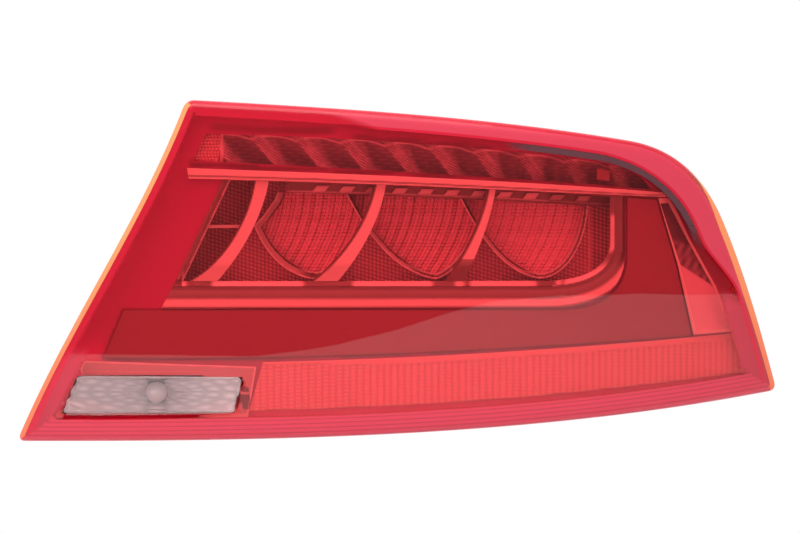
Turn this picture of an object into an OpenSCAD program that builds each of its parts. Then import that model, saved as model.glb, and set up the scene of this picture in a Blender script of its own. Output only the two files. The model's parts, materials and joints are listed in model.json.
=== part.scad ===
// Rear lamp cluster for the right-hand side of a car, in millimetres.
// The viewer stands behind the car and looks along +Y. +X points outboard and +Z up.
// The origin is the foot of the main mounting stud, on the mounting plane y = 0.

/* [Lens] */
// Depth of the lamp from its face to the back wall, at the inboard end
cavity_depth = 80; // [77:1:84]
// Radius of the long inboard stretch of the face, seen from above
main_r = 1500; // [1400:50:1700]
// Radius of the outboard stretch that wraps round the corner of the car
corner_r = 384; // [376:2:400]
// Lean of the face: its top edge stands nearer to the viewer
face_tilt = 8; // [7:0.5:9]
// Radius of the face from top to bottom
crown_r = 600; // [560:20:1000]
// Wall of the moulded lens
lens_wall = 3; // [2.5:0.25:3.25]
// How far the rounded shoulder of the lens falls back
shoulder_depth = 5; // [4:0.25:6]
// Straight skirt behind the shoulder, down to the weld
skirt_depth = 19; // [17:0.5:20]

/* [Housing] */
// Wall of the moulded housing
housing_wall = 2.5; // [2:0.25:3]
// Thickness of the flange that the lens is welded to
flange_t = 5; // [4:0.5:6]
// Depth of the back wall in front of the mounting plane, at the inboard end
back_inboard = 45; // [44:0.5:46]
// Depth of the back wall behind the mounting plane, at the outboard end
back_outboard = 58; // [56:1:60]

/* [Mounting] */
// Thread diameter of the three mounting studs
stud_d = 6; // [5:0.5:8]
// Length of each stud behind the mounting plane
stud_len = 22; // [16:1:30]
// Diameter of the bosses that carry the studs
stud_boss_d = 24; // [22:1:26]
// Diameter of the locating pin on the outboard wing
locator_d = 8; // [6:0.5:10]

/* [Light chambers] */
// Width of one scalloped cell of the turn reflector
cell_pitch = 26.8; // [26:0.2:27.6]
// Radius of the scoop in each of those cells
cell_r = 15; // [14.5:0.25:16]
// Width of the rims round the bowls of the tail chamber
rim_w = 3.4; // [2.6:0.2:4.2]
// Pitch of the slanted pockets above the bowls
louver_pitch = 15.9; // [15:0.3:17.1]
// Diameter of the bulb port in the back of the housing
bulb_port_d = 30; // [28:0.5:31]

/* [Layers behind the lens] */
// Room between the face and the trim bar, the piece nearest to it
front_room = 9; // [8.5:0.25:10]
// Thickness of the bezel plate
bezel_t = 2.5; // [2:0.25:3]
// Depth of the reflex reflector
reflex_t = 6; // [5:0.25:7]
// Depth of the scalloped turn reflector
scallop_depth = 17.5; // [15:0.5:19]
// Depth of the blades in front of the bowls
blade_depth = 12; // [10:0.5:13]
// Depth of the rims round the bowls
rim_depth = 12; // [10:0.5:13]
// Thickness of the moulded optics in the bowls
optic_t = 3; // [2.5:0.25:3.5]
// Thickness of the reflector behind those optics
reflector_t = 3; // [2.5:0.25:3.5]
// Thickness of the boards that carry the light sources
light_board_t = 2; // [1.5:0.1:2.4]
// Thickness of the carrier plate that holds every layer
carrier_t = 3; // [2.5:0.25:4]

/* [Hidden] */
$fn = 48;
// Reach of a cutter that must pass right through
far = 300;

// Depths behind the lens face, measured along Y, of the layers inside the lamp
d_trim = front_room;
d_wedge_frame = d_trim + 1;
d_lip = d_trim + 2;
d_raised = d_trim + 3;
d_bezel = d_trim + 5;
d_bezel_back = d_bezel + bezel_t;
d_reflex_back = d_raised + reflex_t;
d_backing_back = d_reflex_back + 2;
d_turn_back = d_bezel_back + scallop_depth;
d_turn_board = d_turn_back + light_board_t;
d_louver = d_bezel + blade_depth;
d_optic = d_louver + rim_depth;
d_reflector = d_optic + optic_t;
d_board = d_reflector + reflector_t;
d_carrier = d_board + light_board_t;
d_carrier_back = d_carrier + carrier_t;

// Outline of the lens as the viewer sees it: corners, then the two handles of each side.
// The corners run clockwise: top inboard, two ends of the round corner, bottom outboard,
// bottom inboard.
lens_corner = [[-128.5, 103.5], [139, 79.2], [196.3, 32], [230.5, -72.5], [-231, -102.8]];
lens_handle = [
    [[-38.8, 98.7], [52, 93.6]],
    [[165, 75], [184, 60]],
    [[211, -2], [221, -38]],
    [[80, -101], [-78, -103.3]],
    [[-199.5, -29], [-157, 28.6]]
];
// Where each corner lies once it is carried in to the edge of the flat face
shoulder_shift = [[1.4, -5.4], [-1.4, -6.3], [-8.5, -1.8], [-9.5, 3.6], [6.8, 5.4]];
sharp = [true, false, false, true, true];
side_points = [16, 8, 9, 22, 13];
fillet = [0.02, 0.06, 0.05, 0.011, 0.024];
ring_scales = [0.16, 0.33, 0.5, 0.67, 0.84, 1];

// Plan of the face: a long arc and a tighter one that meet on a common tangent
face_depth = back_inboard + cavity_depth;
apex_x = -260;
corner_x = 70;
main_slope = asin((corner_x - apex_x) / main_r);
main_drop = main_r * (1 - cos(main_slope));

function face_plan(x) =
    x < corner_x
    ? main_r - sqrt(pow(main_r, 2) - pow(x - apex_x, 2)) - face_depth
    : main_drop - face_depth
      + corner_r * (cos(main_slope)
                    - sqrt(1 - pow((x - corner_x) / corner_r + sin(main_slope), 2)));

// Depth of the lens face at a point of the view from behind the car
function face_y(p) =
    (face_plan(p[0]) - p[1] * sin(face_tilt)) / cos(face_tilt) + pow(p[1], 2) / (2 * crown_r);

// Depth of the housing's back wall, which sweeps back towards the outboard end
function back_y(x) =
    let (inboard = lens_corner[4][0], outboard = lens_corner[3][0])
    (back_inboard + back_outboard) * pow((x - inboard) / (outboard - inboard), 2) - back_inboard;

function blend(a, b, t) = a + (b - a) * t;
function bezier(p, t) =
    pow(1 - t, 3) * p[0] + 3 * pow(1 - t, 2) * t * p[1]
    + 3 * (1 - t) * pow(t, 2) * p[2] + pow(t, 3) * p[3];
function curve(a, b, c, d, n) = [for (i = [0:n]) bezier([a, b, c, d], i / n)];
function towards(p, q, d) = p + (q - p) * d / norm(q - p);
function flat(lists) = [for (l = lists) for (p = l) p];

// One closed outline of the lens, k = 0 at its silhouette and k = 1 at the edge of the face
function side(i, k) =
    let (j = (i + 1) % 5, a = shoulder_shift[i] * k, b = shoulder_shift[j] * k)
    [lens_corner[i] + a, lens_handle[i][0] + blend(a, b, 1 / 3),
     lens_handle[i][1] + blend(a, b, 2 / 3), lens_corner[j] + b];
function side_start(i) = sharp[i] ? fillet[i] : 0;
function side_end(i) = sharp[(i + 1) % 5] ? 1 - fillet[i] : 1 - 1 / side_points[i];
function corner_points(i, k) =
    let (h = (i + 4) % 5, s = side(i, k),
         a = bezier(side(h, k), side_end(h)), b = bezier(s, side_start(i)))
    [for (t = [1 / 3, 2 / 3]) blend(blend(a, s[0], t), blend(s[0], b, t), t)];
function lens_loop(k) = flat([
    for (i = [0:4]) flat([
        sharp[i] ? corner_points(i, k) : [],
        [for (n = [0:side_points[i] - 1])
            bezier(side(i, k), blend(side_start(i), side_end(i), n / (side_points[i] - 1)))]
    ])
]);

rim_loop = lens_loop(0);
face_loop = lens_loop(1);
loop_count = len(rim_loop);
function inset(d) = [for (i = [0:loop_count - 1]) towards(rim_loop[i], face_loop[i], d)];

// Rings of points in space
function face_ring(loop, drop) = [for (p = loop) [p[0], face_y(p) + drop, p[1]]];
function back_ring(loop, shift) = [for (p = loop) [p[0], back_y(p[0]) + shift, p[1]]];
function mix_loops(a, b, k) = [for (i = [0:loop_count - 1]) blend(a[i], b[i], k)];

// Closed shell through a list of rings, with a point at each end
module skin(front_point, rings, back_point) {
    n = loop_count;
    last = len(rings) - 1;
    points = flat([[front_point], flat(rings), [back_point]]);
    end = len(points) - 1;
    function at(r, i) = 1 + r * n + i % n;
    faces = flat([
        [for (i = [0:n - 1]) [0, at(0, i), at(0, i + 1)]],
        [for (r = [0:last - 1]) for (i = [0:n - 1]) [at(r, i), at(r + 1, i), at(r + 1, i + 1)]],
        [for (r = [0:last - 1]) for (i = [0:n - 1]) [at(r, i), at(r + 1, i + 1), at(r, i + 1)]],
        [for (i = [0:n - 1]) [at(last, i), end, at(last, i + 1)]]
    ]);
    polyhedron(points, faces, convexity = 6);
}

// Prism along Y through the outline of points given as seen by the viewer
module along_y(points) {
    rotate([90, 0, 0]) linear_extrude(far, center = true) polygon(points);
}

// Leaning curved layer between two depths behind the face
layer_step = 20;
layer_xs = [for (x = [-240:layer_step:240]) x];
module layer(front, back) {
    front_edge = [for (x = layer_xs) [x, face_plan(x) + front]];
    back_edge = [for (i = [len(layer_xs) - 1:-1:0]) [layer_xs[i], face_plan(layer_xs[i]) + back]];
    rotate([face_tilt, 0, 0]) linear_extrude(far, center = true)
        polygon(concat(front_edge, back_edge));
}

// Piece of a layer with a given outline
module plate(points, front, back) {
    intersection() {
        layer(front, back);
        along_y(points);
    }
}

// Depth along Y of a layer at a point of the view
function layer_y(p, d) = (face_plan(p[0]) + d - p[1] * sin(face_tilt)) / cos(face_tilt);

function rectangle(p, size) =
    let (x = size[0] / 2, z = size[1] / 2)
    [p + [-x, z], p + [x, z], p + [x, -z], p + [-x, -z]];

// Cylinder along +Y from depth y0 to y1
module rod(p, r, y0, y1) {
    translate([p[0], y0, p[1]]) rotate([-90, 0, 0]) cylinder(r = r, h = y1 - y0);
}

// Turned piece along +Y: the profile lists [radius, depth]
module turned(p, profile) {
    translate([p[0], 0, p[1]]) rotate([-90, 0, 0]) rotate_extrude() polygon(profile);
}

// Outlines of the windows and panels, as the viewer sees them
turn_window = concat(
    curve([-116.8, 82.8], [-40, 81.5], [60, 75.5], [128, 64.8], 10),
    curve([133, 63.5], [141, 61], [148, 57], [151.6, 50.3], 4),
    curve([151.6, 49.8], [60, 57.5], [-30, 62], [-124.9, 66.8], 10)
);
trim_top = curve([-128.1, 62.2], [-30, 58.8], [70, 55], [164.1, 47.4], 12);
trim_bottom = curve([164.1, 44.8], [70, 48.5], [-30, 54.5], [-127.2, 55.8], 12);
tail_top = curve([-101.9, 55], [-30, 53.2], [60, 50], [127.5, 45.2], 8);
tail_window = concat(
    tail_top,
    curve([127.5, 18], [127.5, 2], [112, -5.5], [90, -5.8], 6),
    [[-27, -6], [-130.6, -6]]
);
frame_top = curve([-106, 56.4], [-30, 54], [60, 50.6], [136.6, 45.4], 8);
frame_outline = concat(
    frame_top,
    curve([136.6, 10], [136.6, -10], [122, -22], [98, -22], 6),
    [[-27, -21.5], [-144, -22], [-135.5, -7]]
);
frame_hole = concat(
    curve([-103.5, 55.6], [-30, 53.6], [60, 50.3], [130.5, 45.3], 8),
    curve([130.5, 18], [130.5, 0], [114, -8.8], [90, -9.1], 6),
    [[-27, -9.2], [-133.5, -9.2]]
);
// Right-hand flank of the tail chamber down to the reflex strip
wedge_outline = [[157, 44], [164.4, 44.4], [176, 20], [192.4, -9.5], [203.4, -36.6], [178.6, -38.6],
                 [168.8, 4.3]];
wedge_opening = [[158.2, 41], [163, 41.4], [174.5, 19.4], [190.6, -9.5], [200.6, -34.9], [180.2, -36.6],
                 [170.4, 4.3]];
panel_outline = concat(
    [[138.2, 44.6], [155.9, 43.2], [167.6, 4.3], [177.4, -38.9]],
    curve([171.8, -39.6], [60, -47.5], [-40, -53.3], [-178.7, -52.4], 10),
    [[-166.5, -23.6], [-27, -23.4]],
    curve([99, -23.6], [124, -23.6], [138.2, -11], [138.2, 10], 6)
);
reflex_outline = concat(
    curve([-82.4, -54.9], [10, -53], [100, -47.5], [204.4, -37.6], 10),
    curve([209.2, -61.5], [120, -73], [40, -81.5], [-90.9, -84.2], 10)
);
reverse_outline = [[-190.3, -54], [-86.3, -57.6], [-91.5, -88.3], [-208.7, -88.8]];
reverse_opening = [[-194.2, -63.4], [-94.4, -64.2], [-99.6, -85.8], [-204, -86.2]];

// Blades of the tail chamber: handles of the inboard edge and of the outboard one, from the head
blade_left = [
    [[-87.8, 56], [-90.2, 34], [-105.2, 4], [-130, -7.5]],
    [[-15.4, 54], [-19, 33], [-32, 10], [-55, -7.5]],
    [[52.9, 51.5], [50.5, 34], [41, 12], [26, -7.5]]
];
blade_right = [
    [[-78.7, 56], [-81, 38], [-93, 12], [-111.5, -7.5]],
    [[-7.9, 54], [-10, 37], [-20, 13], [-38.5, -7.5]],
    [[58.6, 51.5], [56, 33], [48, 12], [38.5, -7.5]]
];
function blade_outline(i) =
    let (l = blade_left[i], r = blade_right[i])
    concat(curve(r[0], r[1], r[2], r[3], 8), curve(l[3], l[2], l[1], l[0], 8));

// Bowls of the tail chamber: left arm down to the lowest point, then up the right arm
bowl_left = [
    [[-88, 27.5], [-83, 14], [-71, -3.5], [-50, -5.2]],
    [[-34.5, 51], [-22, 27], [-7, 0], [22, -5]],
    [[34, 49], [47, 25], [60, -1], [85, -4.6]]
];
bowl_right = [
    [[-37, -4], [-26, 13], [-15, 30]],
    [[33, -3], [44, 13], [51.5, 27]],
    [[101, -4.4], [114.5, 16], [114.7, 44]]
];
// Upper end of the left arm, and where the next bowl's arm bounds this one at the top
bowl_apex = [[[-72, 52.4], [-75.3, 43.5], [-83, 32.8]], [], []];
bowl_corner = [[[-27, 52]], [[41, 50]], []];
function bowl_outline(i) =
    let (l = bowl_left[i], r = bowl_right[i])
    concat(bowl_apex[i], curve(l[0], l[1], l[2], l[3], 9),
           [for (n = [1:9]) bezier([l[3], r[0], r[1], r[2]], n / 9)], bowl_corner[i]);
bowl_middle = [[-52, 26], [14, 26], [84, 24]];
function bowl_inner(i) = [for (p = bowl_outline(i)) towards(p, bowl_middle[i], rim_w)];

// Places, as the viewer sees them
screw_at = [[-141, 14], [148, 12], [-60, -37], [88, -34]];
leg_at = [[-148, -8], [-128, -38], [12, -38], [150, 30], [163, -24]];
stud_at = [[0, 0], [-105, 60], [60, -58]];
vent_at = [[-60, -55], [132, -16]];
bulb_at = [-147, -73];
locator_at = [193, -22];
driver_at = [32, 47];
driver_size = [78, 52];
driver_wall = 3;
driver_y = 3;
driver_inboard = driver_at[0] - driver_size[0] / 2 - 1;
board_t = 1.6;
cover_h = 14;
cover_wall = 2;
cover_screw_at = [for (sx = [-1, 1]) for (sz = [-1, 1])
    driver_at + [sx * (driver_size[0] / 2 + 4.6), sz * (driver_size[1] / 2 - 6)]];
hood_at = driver_at + [21 - driver_size[0] / 2, 0];
hood_size = [27, 12];
hood_wall = 1.8;
hood_len = 14;
terminal_pitch = 5;
terminal_size = [2, 0.8];
// Play of what goes into a hole
fit_gap = 0.3;

// Fasteners
carrier_screw_r = 2;
screw_head_r = 4.5;
screw_head_h = 3;
pad_r = 7;
pad_h = 4;
post_r = 6;
leg_r = 4;
cover_screw_r = 1.5;
cover_ear_r = 5;
cover_ear_h = 3;
stud_root_r = stud_d / 2 + 1.5;
stud_root_len = 14;
stud_tip = 1;
seal_inner_r = 8;
seal_outer_r = 11;
seal_t = 2.5;
vent_r = 4;
function pad_y(i) = layer_y(screw_at[i], d_carrier) - pad_h;

module block(p, size, y0, y1) {
    translate([p[0] - size[0] / 2, y0, p[1] - size[1] / 2]) cube([size[0], y1 - y0, size[1]]);
}

// Outer lens
module lens_shell() {
    inner_rim = inset(lens_wall);
    steps = [22.5, 45, 67.5, 90];
    rings = concat(
        [for (s = ring_scales) face_ring(s * face_loop, 0)],
        [for (a = steps) face_ring(mix_loops(rim_loop, face_loop, 1 - sin(a)),
                                   shoulder_depth * (1 - cos(a)))],
        [face_ring(rim_loop, shoulder_depth + skirt_depth),
         face_ring(inner_rim, shoulder_depth + skirt_depth),
         face_ring(inner_rim, shoulder_depth)],
        [for (a = [60, 30]) face_ring(mix_loops(inner_rim, face_loop, 1 - sin(a)),
                                      blend(lens_wall, shoulder_depth, 1 - cos(a)))],
        [for (i = [5:-1:0]) face_ring(ring_scales[i] * face_loop, lens_wall)]
    );
    middle = face_y([0, 0]);
    skin([0, middle, 0], rings, [0, middle + lens_wall, 0]);
}

module outer_lens() {
    color([0.85, 0.08, 0.16, 0.5]) difference() {
        lens_shell();
        along_y(reverse_opening);
    }
}

module reverse_window() {
    color([0.9, 0.85, 0.85, 0.4]) intersection() {
        lens_shell();
        along_y(reverse_opening);
    }
}

// Housing behind the lens, with the glue line of the weld between the two
cavity_gap = 6 + housing_wall;
weld_gap = 0.1;
module housing_shell() {
    rim_y = shoulder_depth + skirt_depth + weld_gap;
    small = inset(26);
    inner_small = inset(26 + housing_wall);
    rings = concat(
        [for (s = [0.2, 0.4, 0.6, 0.8, 1]) back_ring(s * inner_small, -housing_wall)],
        [back_ring(inset(16 + housing_wall), -11),
         face_ring(inset(cavity_gap), rim_y + flange_t),
         face_ring(inset(cavity_gap), rim_y),
         face_ring(inset(lens_wall), rim_y),
         face_ring(rim_loop, rim_y),
         face_ring(rim_loop, rim_y + flange_t),
         face_ring(inset(6), rim_y + flange_t),
         back_ring(inset(16), -10),
         back_ring(inset(19), -3)],
        [for (s = [1, 0.8, 0.6, 0.4, 0.2]) back_ring(s * small, 0)]
    );
    skin([0, back_y(0) - housing_wall, 0], rings, [0, back_y(0), 0]);
}

rib_t = 2.5;
rib_h = 5;
module back_rib_z(x, z0, z1) {
    translate([x - rib_t / 2, back_y(x) - 1.5, z0]) cube([rib_t, rib_h + 1.5, z1 - z0]);
}
module back_rib_x(z, x0, x1) {
    xs = [for (n = [0:6]) blend(x0, x1, n / 6)];
    outer = [for (x = xs) [x, back_y(x) + rib_h]];
    inner = [for (n = [6:-1:0]) [xs[n], back_y(xs[n]) - 1.5]];
    translate([0, 0, z - rib_t / 2]) linear_extrude(rib_t) polygon(concat(outer, inner));
}

module housing() {
    root = housing_wall - 0.5;
    color([0.16, 0.16, 0.17]) difference() {
        union() {
            housing_shell();
            for (p = stud_at) rod(p, stud_boss_d / 2, back_y(p[0]) - root, 0);
            for (p = vent_at) rod(p, vent_r, back_y(p[0]) - root, back_y(p[0]) + 9);
            rod(bulb_at, bulb_port_d / 2 + 4, back_y(bulb_at[0]) - 12, back_y(bulb_at[0]) + 6);
            rod(locator_at, locator_d / 2 + 5, back_y(locator_at[0]) - root, back_outboard - 10);
            rod(locator_at, locator_d / 2, back_outboard - 12, back_outboard + 4);
            for (i = [0:3]) intersection() {
                rod(screw_at[i], post_r, -far / 2, back_y(screw_at[i][0]) - 1);
                layer(d_carrier_back, far);
            }
            block(driver_at, driver_size, back_y(driver_inboard) - 2, driver_y);
            for (p = cover_screw_at) rod(p, cover_ear_r, back_y(p[0]) - root - 2, driver_y);
            back_rib_z(-150, -20, 50);
            back_rib_z(-105, -78, 48);
            back_rib_z(-20, -78, -10);
            back_rib_z(100, -66, 18);
            back_rib_z(150, -60, 40);
            back_rib_x(-8, -180, -11);
            back_rib_x(-30, 8, 178);
            back_rib_x(6, 85, 165);
        }
        // Room for the wires behind the driver board
        block(driver_at, driver_size - 2 * [driver_wall, driver_wall],
              back_y(driver_inboard) - 12, driver_y + 1);
        for (p = stud_at) rod(p, stud_root_r, -stud_root_len, 1);
        for (p = vent_at) rod(p, 2.2, back_y(p[0]) - 14, back_y(p[0]) + 10);
        rod(bulb_at, bulb_port_d / 2, back_y(bulb_at[0]) - 14, back_y(bulb_at[0]) + 7);
        for (i = [0:3]) rod(screw_at[i], carrier_screw_r, pad_y(i) - 1, pad_y(i) + 18);
        for (p = cover_screw_at) rod(p, cover_screw_r, driver_y - 12, driver_y + 1);
    }
}

// Trim and panels in front
module main_bezel() {
    color([0.55, 0.55, 0.57]) union() {
        difference() {
            plate(inset(9), d_bezel, d_bezel_back);
            along_y(turn_window);
            along_y(frame_hole);
            along_y(wedge_opening);
            along_y(reflex_outline);
            along_y(reverse_opening);
        }
        for (p = leg_at) intersection() {
            rod(p, leg_r, -far / 2, far / 2);
            layer(d_bezel_back, d_carrier);
        }
    }
}
module lower_panel() {
    color([0.6, 0.6, 0.62]) plate(panel_outline, d_raised, d_bezel);
}
module trim_bar() {
    color([0.95, 0.95, 0.96]) difference() {
        plate(concat(trim_top, trim_bottom), d_trim, d_bezel);
        plate(frame_outline, d_lip, d_bezel + 1);
    }
}

// Turn signal strip
cell_xs = [for (n = [-3:5]) 8.5 + n * cell_pitch];
function cell_z(x) = 70 - 0.0735 * (x - 8.5) - 0.00022 * pow(x - 8.5, 2);
scoop_lean = 35;
// Slanted cut between the red optic at the inboard end and the reflector
turn_cut = [[-107, 90], [-110, 60]];
module turn_reflector() {
    color([0.85, 0.85, 0.87]) difference() {
        plate(turn_window, d_bezel_back, d_turn_back);
        for (x = cell_xs)
            translate([x - 5, layer_y([x, cell_z(x)], d_bezel_back) - cell_r / 2, cell_z(x)])
                rotate([scoop_lean, 0, 0]) cylinder(r = cell_r, h = 60, center = true);
        along_y(concat([[-122, 90]], turn_cut, [[-126, 60]]));
    }
}
module turn_end_optic() {
    color([0.8, 0.25, 0.3]) intersection() {
        plate(turn_window, d_bezel_back, d_turn_back);
        along_y(concat([[-124, 90]], turn_cut, [[-132, 60]]));
    }
}
module turn_end_prism() {
    color([0.95, 0.9, 0.9])
        plate([[119.6, 62.4], [127.4, 61], [127.4, 54.6], [119.6, 55.6]], d_bezel, d_bezel_back);
}
module turn_board() {
    color([0.1, 0.3, 0.16]) union() {
        plate(turn_window, d_turn_back, d_turn_board);
        for (x = [-90, 20, 110])
            plate(rectangle([x, 63], [10, 6]), d_turn_board, d_carrier);
    }
}

// Tail light chamber
module tail_frame() {
    color([0.8, 0.8, 0.82]) difference() {
        union() {
            plate(frame_outline, d_lip, d_bezel);
            plate(frame_hole, d_raised, d_board);
        }
        along_y(tail_window);
    }
}
module blade(i) {
    color([0.95, 0.95, 0.96]) intersection() {
        plate(blade_outline(i), d_bezel, d_louver);
        along_y(tail_window);
    }
}
module bowl_rim(i) {
    color([0.9, 0.9, 0.92]) difference() {
        intersection() {
            plate(bowl_outline(i), d_louver, d_optic);
            along_y(tail_window);
        }
        along_y(bowl_inner(i));
        along_y(louver_outline);
        if (i < 2) along_y(bowl_outline(i + 1));
    }
}
module tail_optic(i) {
    color([0.88, 0.88, 0.9]) difference() {
        intersection() {
            plate(bowl_outline(i), d_optic, d_reflector);
            along_y(tail_window);
        }
        if (i < 2) along_y(bowl_outline(i + 1));
    }
}
module tail_pillow_optic() {
    color([0.7, 0.7, 0.72]) difference() {
        plate(tail_window, d_optic, d_reflector);
        for (i = [0:2]) along_y(bowl_outline(i));
    }
}
ledge_z = 27;
ledge_t = 2;
module tail_ledge() {
    color([0.9, 0.9, 0.92]) intersection() {
        plate(rectangle([-106, ledge_z], [28, ledge_t]), d_louver, d_optic);
        along_y(tail_window);
    }
}
louver_h = 6.5;
pocket_w = 8;
louver_x0 = -57.6;
louver_count = floor((128 - louver_x0) / louver_pitch);
function louver_z(x) = 52 - 0.026 * (x + 40) - 0.00009 * pow(x + 40, 2);
louver_outline = concat(
    tail_top,
    [for (i = [len(tail_top) - 1:-1:0]) tail_top[i] - [0, louver_h]]
);
module top_louver() {
    color([0.85, 0.85, 0.87]) difference() {
        plate(louver_outline, d_louver, d_optic);
        intersection() {
            layer(d_louver - 2, d_louver + 7);
            for (n = [0:louver_count - 1]) let (x = louver_x0 + n * louver_pitch, z = louver_z(x))
                along_y([[x, z - 1], [x + pocket_w, z - 1], [x + pocket_w - 3, z - 4.6], [x - 3, z - 4.6]]);
        }
        along_y(rectangle([-89, 50], [42, 20]));
    }
}
led_at = [for (n = [0:11]) for (z = [8, 32]) [-95 + n * 18.5, z]];
led_size = [5, 5];
led_window = [7, 7];
led_t = 1.5;
module tail_reflector() {
    color([0.85, 0.85, 0.87]) difference() {
        plate(tail_window, d_reflector, d_board);
        for (p = led_at) along_y(rectangle(p, led_window));
    }
}
module tail_board() {
    color([0.1, 0.3, 0.16]) union() {
        plate(frame_hole, d_board, d_carrier);
        intersection() {
            layer(d_board - led_t, d_board);
            for (p = led_at) along_y(rectangle(p, led_size));
        }
    }
}
module carrier() {
    color([0.2, 0.2, 0.21]) difference() {
        union() {
            plate(inset(22), d_carrier, d_carrier_back);
            for (i = [0:3]) intersection() {
                rod(screw_at[i], pad_r, pad_y(i), far / 2);
                layer(d_optic, d_carrier_back);
            }
        }
        for (i = [0:3]) rod(screw_at[i], carrier_screw_r + fit_gap, pad_y(i) - 20, pad_y(i) + 40);
        for (x = [-70, -10, 50, 110]) along_y(rectangle([x, 14], [36, 28]));
        rod(bulb_at, bulb_port_d / 2 + 6, -far / 2, far / 2);
        along_y(reverse_opening);
    }
}

// Outboard flank, reflex reflector and reversing light
module side_blade() {
    color([0.9, 0.9, 0.92]) plate(wedge_opening, d_raised, d_bezel_back);
}
module side_blade_frame() {
    color([0.95, 0.95, 0.96]) difference() {
        plate(wedge_outline, d_wedge_frame, d_bezel);
        along_y(wedge_opening);
    }
}
module reflex_reflector() {
    color([0.8, 0.1, 0.12]) plate(reflex_outline, d_raised, d_reflex_back);
}
module reflex_backing() {
    color([0.75, 0.75, 0.77]) plate([for (p = reflex_outline) p + [0, (p[1] > -60 ? 1.5 : -1.5)]],
                                    d_reflex_back, d_backing_back);
}
module reverse_frame() {
    color([0.8, 0.8, 0.82]) difference() {
        plate(reverse_outline, d_raised, d_bezel);
        along_y(reverse_opening);
    }
}
bowl_wall = 1.5;
bowl_hole_r = 10;
module reverse_bowl() {
    back = layer_y(bulb_at, d_carrier_back);
    mouth_y = layer_y(bulb_at, d_bezel_back) - 12;
    color([0.9, 0.9, 0.92]) difference() {
        union() {
            plate([for (p = reverse_opening) p + [p[0] > bulb_at[0] ? 3 : -3, p[1] > bulb_at[1] ? 3 : -3]],
                  d_bezel_back, d_bezel_back + 2);
            plate(reverse_opening, d_bezel_back + 2, d_carrier_back - 8);
            rod(bulb_at, bowl_hole_r + 2, back - 12, back);
        }
        hull() {
            translate([0, mouth_y, 0]) rotate([90, 0, 0]) linear_extrude(1)
                polygon([for (p = reverse_opening) towards(p, bulb_at, bowl_wall * 1.4)]);
            rod(bulb_at, bowl_hole_r + 1, back - 11, back - 10);
        }
        rod(bulb_at, bowl_hole_r, back - 20, back + 1);
    }
}
holder_y = back_y(bulb_at[0]) + 6;
seal_w = 1.5;
bulb_root_y = layer_y(bulb_at, d_carrier_back) + 1;
module reverse_bulb() {
    r = 6.8;
    top = bulb_root_y - 26;
    color([0.95, 0.95, 0.98, 0.4])
        turned(bulb_at, concat([[0, top]], [for (a = [15:15:90]) [r * sin(a), top + r * (1 - cos(a))]],
                               [[r, bulb_root_y], [0, bulb_root_y]]));
}
module bulb_holder() {
    neck_r = bowl_hole_r - fit_gap;
    body_r = bulb_port_d / 2 - fit_gap;
    flange_r = bulb_port_d / 2 + 4;
    grip_y = holder_y + seal_w + 3;
    color([0.12, 0.12, 0.13]) union() {
        turned(bulb_at, [[0, bulb_root_y], [neck_r, bulb_root_y], [neck_r, bulb_root_y + 4],
                         [body_r, bulb_root_y + 4], [body_r, holder_y + seal_w],
                         [flange_r, holder_y + seal_w], [flange_r, grip_y], [12, grip_y],
                         [12, grip_y + 8], [0, grip_y + 8]]);
        block(bulb_at, [34, 5], grip_y - 1, grip_y + 10);
    }
}
module bulb_seal() {
    inner_r = bulb_port_d / 2 - fit_gap;
    outer_r = bulb_port_d / 2 + 4;
    seal_y = holder_y + seal_w;
    color([0.08, 0.08, 0.08])
        turned(bulb_at, [[inner_r, holder_y], [outer_r, holder_y], [outer_r, seal_y], [inner_r, seal_y]]);
}

// Driver module on the back
module driver_board() {
    color([0.1, 0.3, 0.16])
        block(driver_at, driver_size - 2 * [cover_wall, cover_wall], driver_y, driver_y + board_t);
}
module driver_cover() {
    top = driver_y + cover_h;
    color([0.14, 0.14, 0.15]) difference() {
        union() {
            block(driver_at, driver_size, driver_y, top);
            for (p = cover_screw_at) rod(p, cover_ear_r, driver_y, driver_y + cover_ear_h);
            block(hood_at, hood_size + 2 * [hood_wall, hood_wall], top - 1, top + hood_len);
        }
        block(driver_at, driver_size - 2 * [cover_wall, cover_wall], driver_y - 1, top - cover_wall);
        block(hood_at, hood_size, top, top + hood_len + 1);
        for (n = [0:3]) block(terminal_place(n), terminal_size, top - cover_wall - 1, top + 1);
        for (p = cover_screw_at) rod(p, cover_screw_r + fit_gap, driver_y - 1, driver_y + cover_ear_h + 1);
    }
}
function terminal_place(n) = hood_at + [(n - 1.5) * terminal_pitch, 0];
module terminal(n) {
    color([0.85, 0.75, 0.45])
        block(terminal_place(n), terminal_size, driver_y + board_t, driver_y + cover_h + hood_len - 4);
}

// Mounting, venting and fasteners
module mounting_stud(i) {
    r = stud_d / 2;
    color([0.75, 0.76, 0.78])
        turned(stud_at[i], [[0, -stud_root_len], [stud_root_r, -stud_root_len], [stud_root_r, 0], [r, 0],
                            [r, stud_len - stud_tip], [r - stud_tip, stud_len], [0, stud_len]]);
}
module stud_seal(i) {
    color([0.1, 0.1, 0.1])
        turned(stud_at[i], [[seal_inner_r, 0], [seal_outer_r, 0], [seal_outer_r, seal_t],
                            [seal_inner_r, seal_t]]);
}
module vent_cap(i) {
    y = back_y(vent_at[i][0]);
    color([0.08, 0.08, 0.08])
        turned(vent_at[i], [[vent_r, y + 3], [6.5, y + 3], [6.5, y + 11], [5.5, y + 12], [0, y + 12],
                            [0, y + 9], [vent_r, y + 9]]);
}
module screw(p, y, shank_r, length, direction) {
    head = screw_head_h * direction;
    color([0.7, 0.71, 0.73])
        turned(p, [[0, y - head], [screw_head_r * 0.7, y - head], [screw_head_r, y - head * 0.6],
                   [screw_head_r, y], [shank_r, y], [shank_r, y + length * direction],
                   [0, y + length * direction]]);
}
module carrier_screw(i) {
    screw(screw_at[i], pad_y(i), carrier_screw_r, 17, 1);
}
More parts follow.
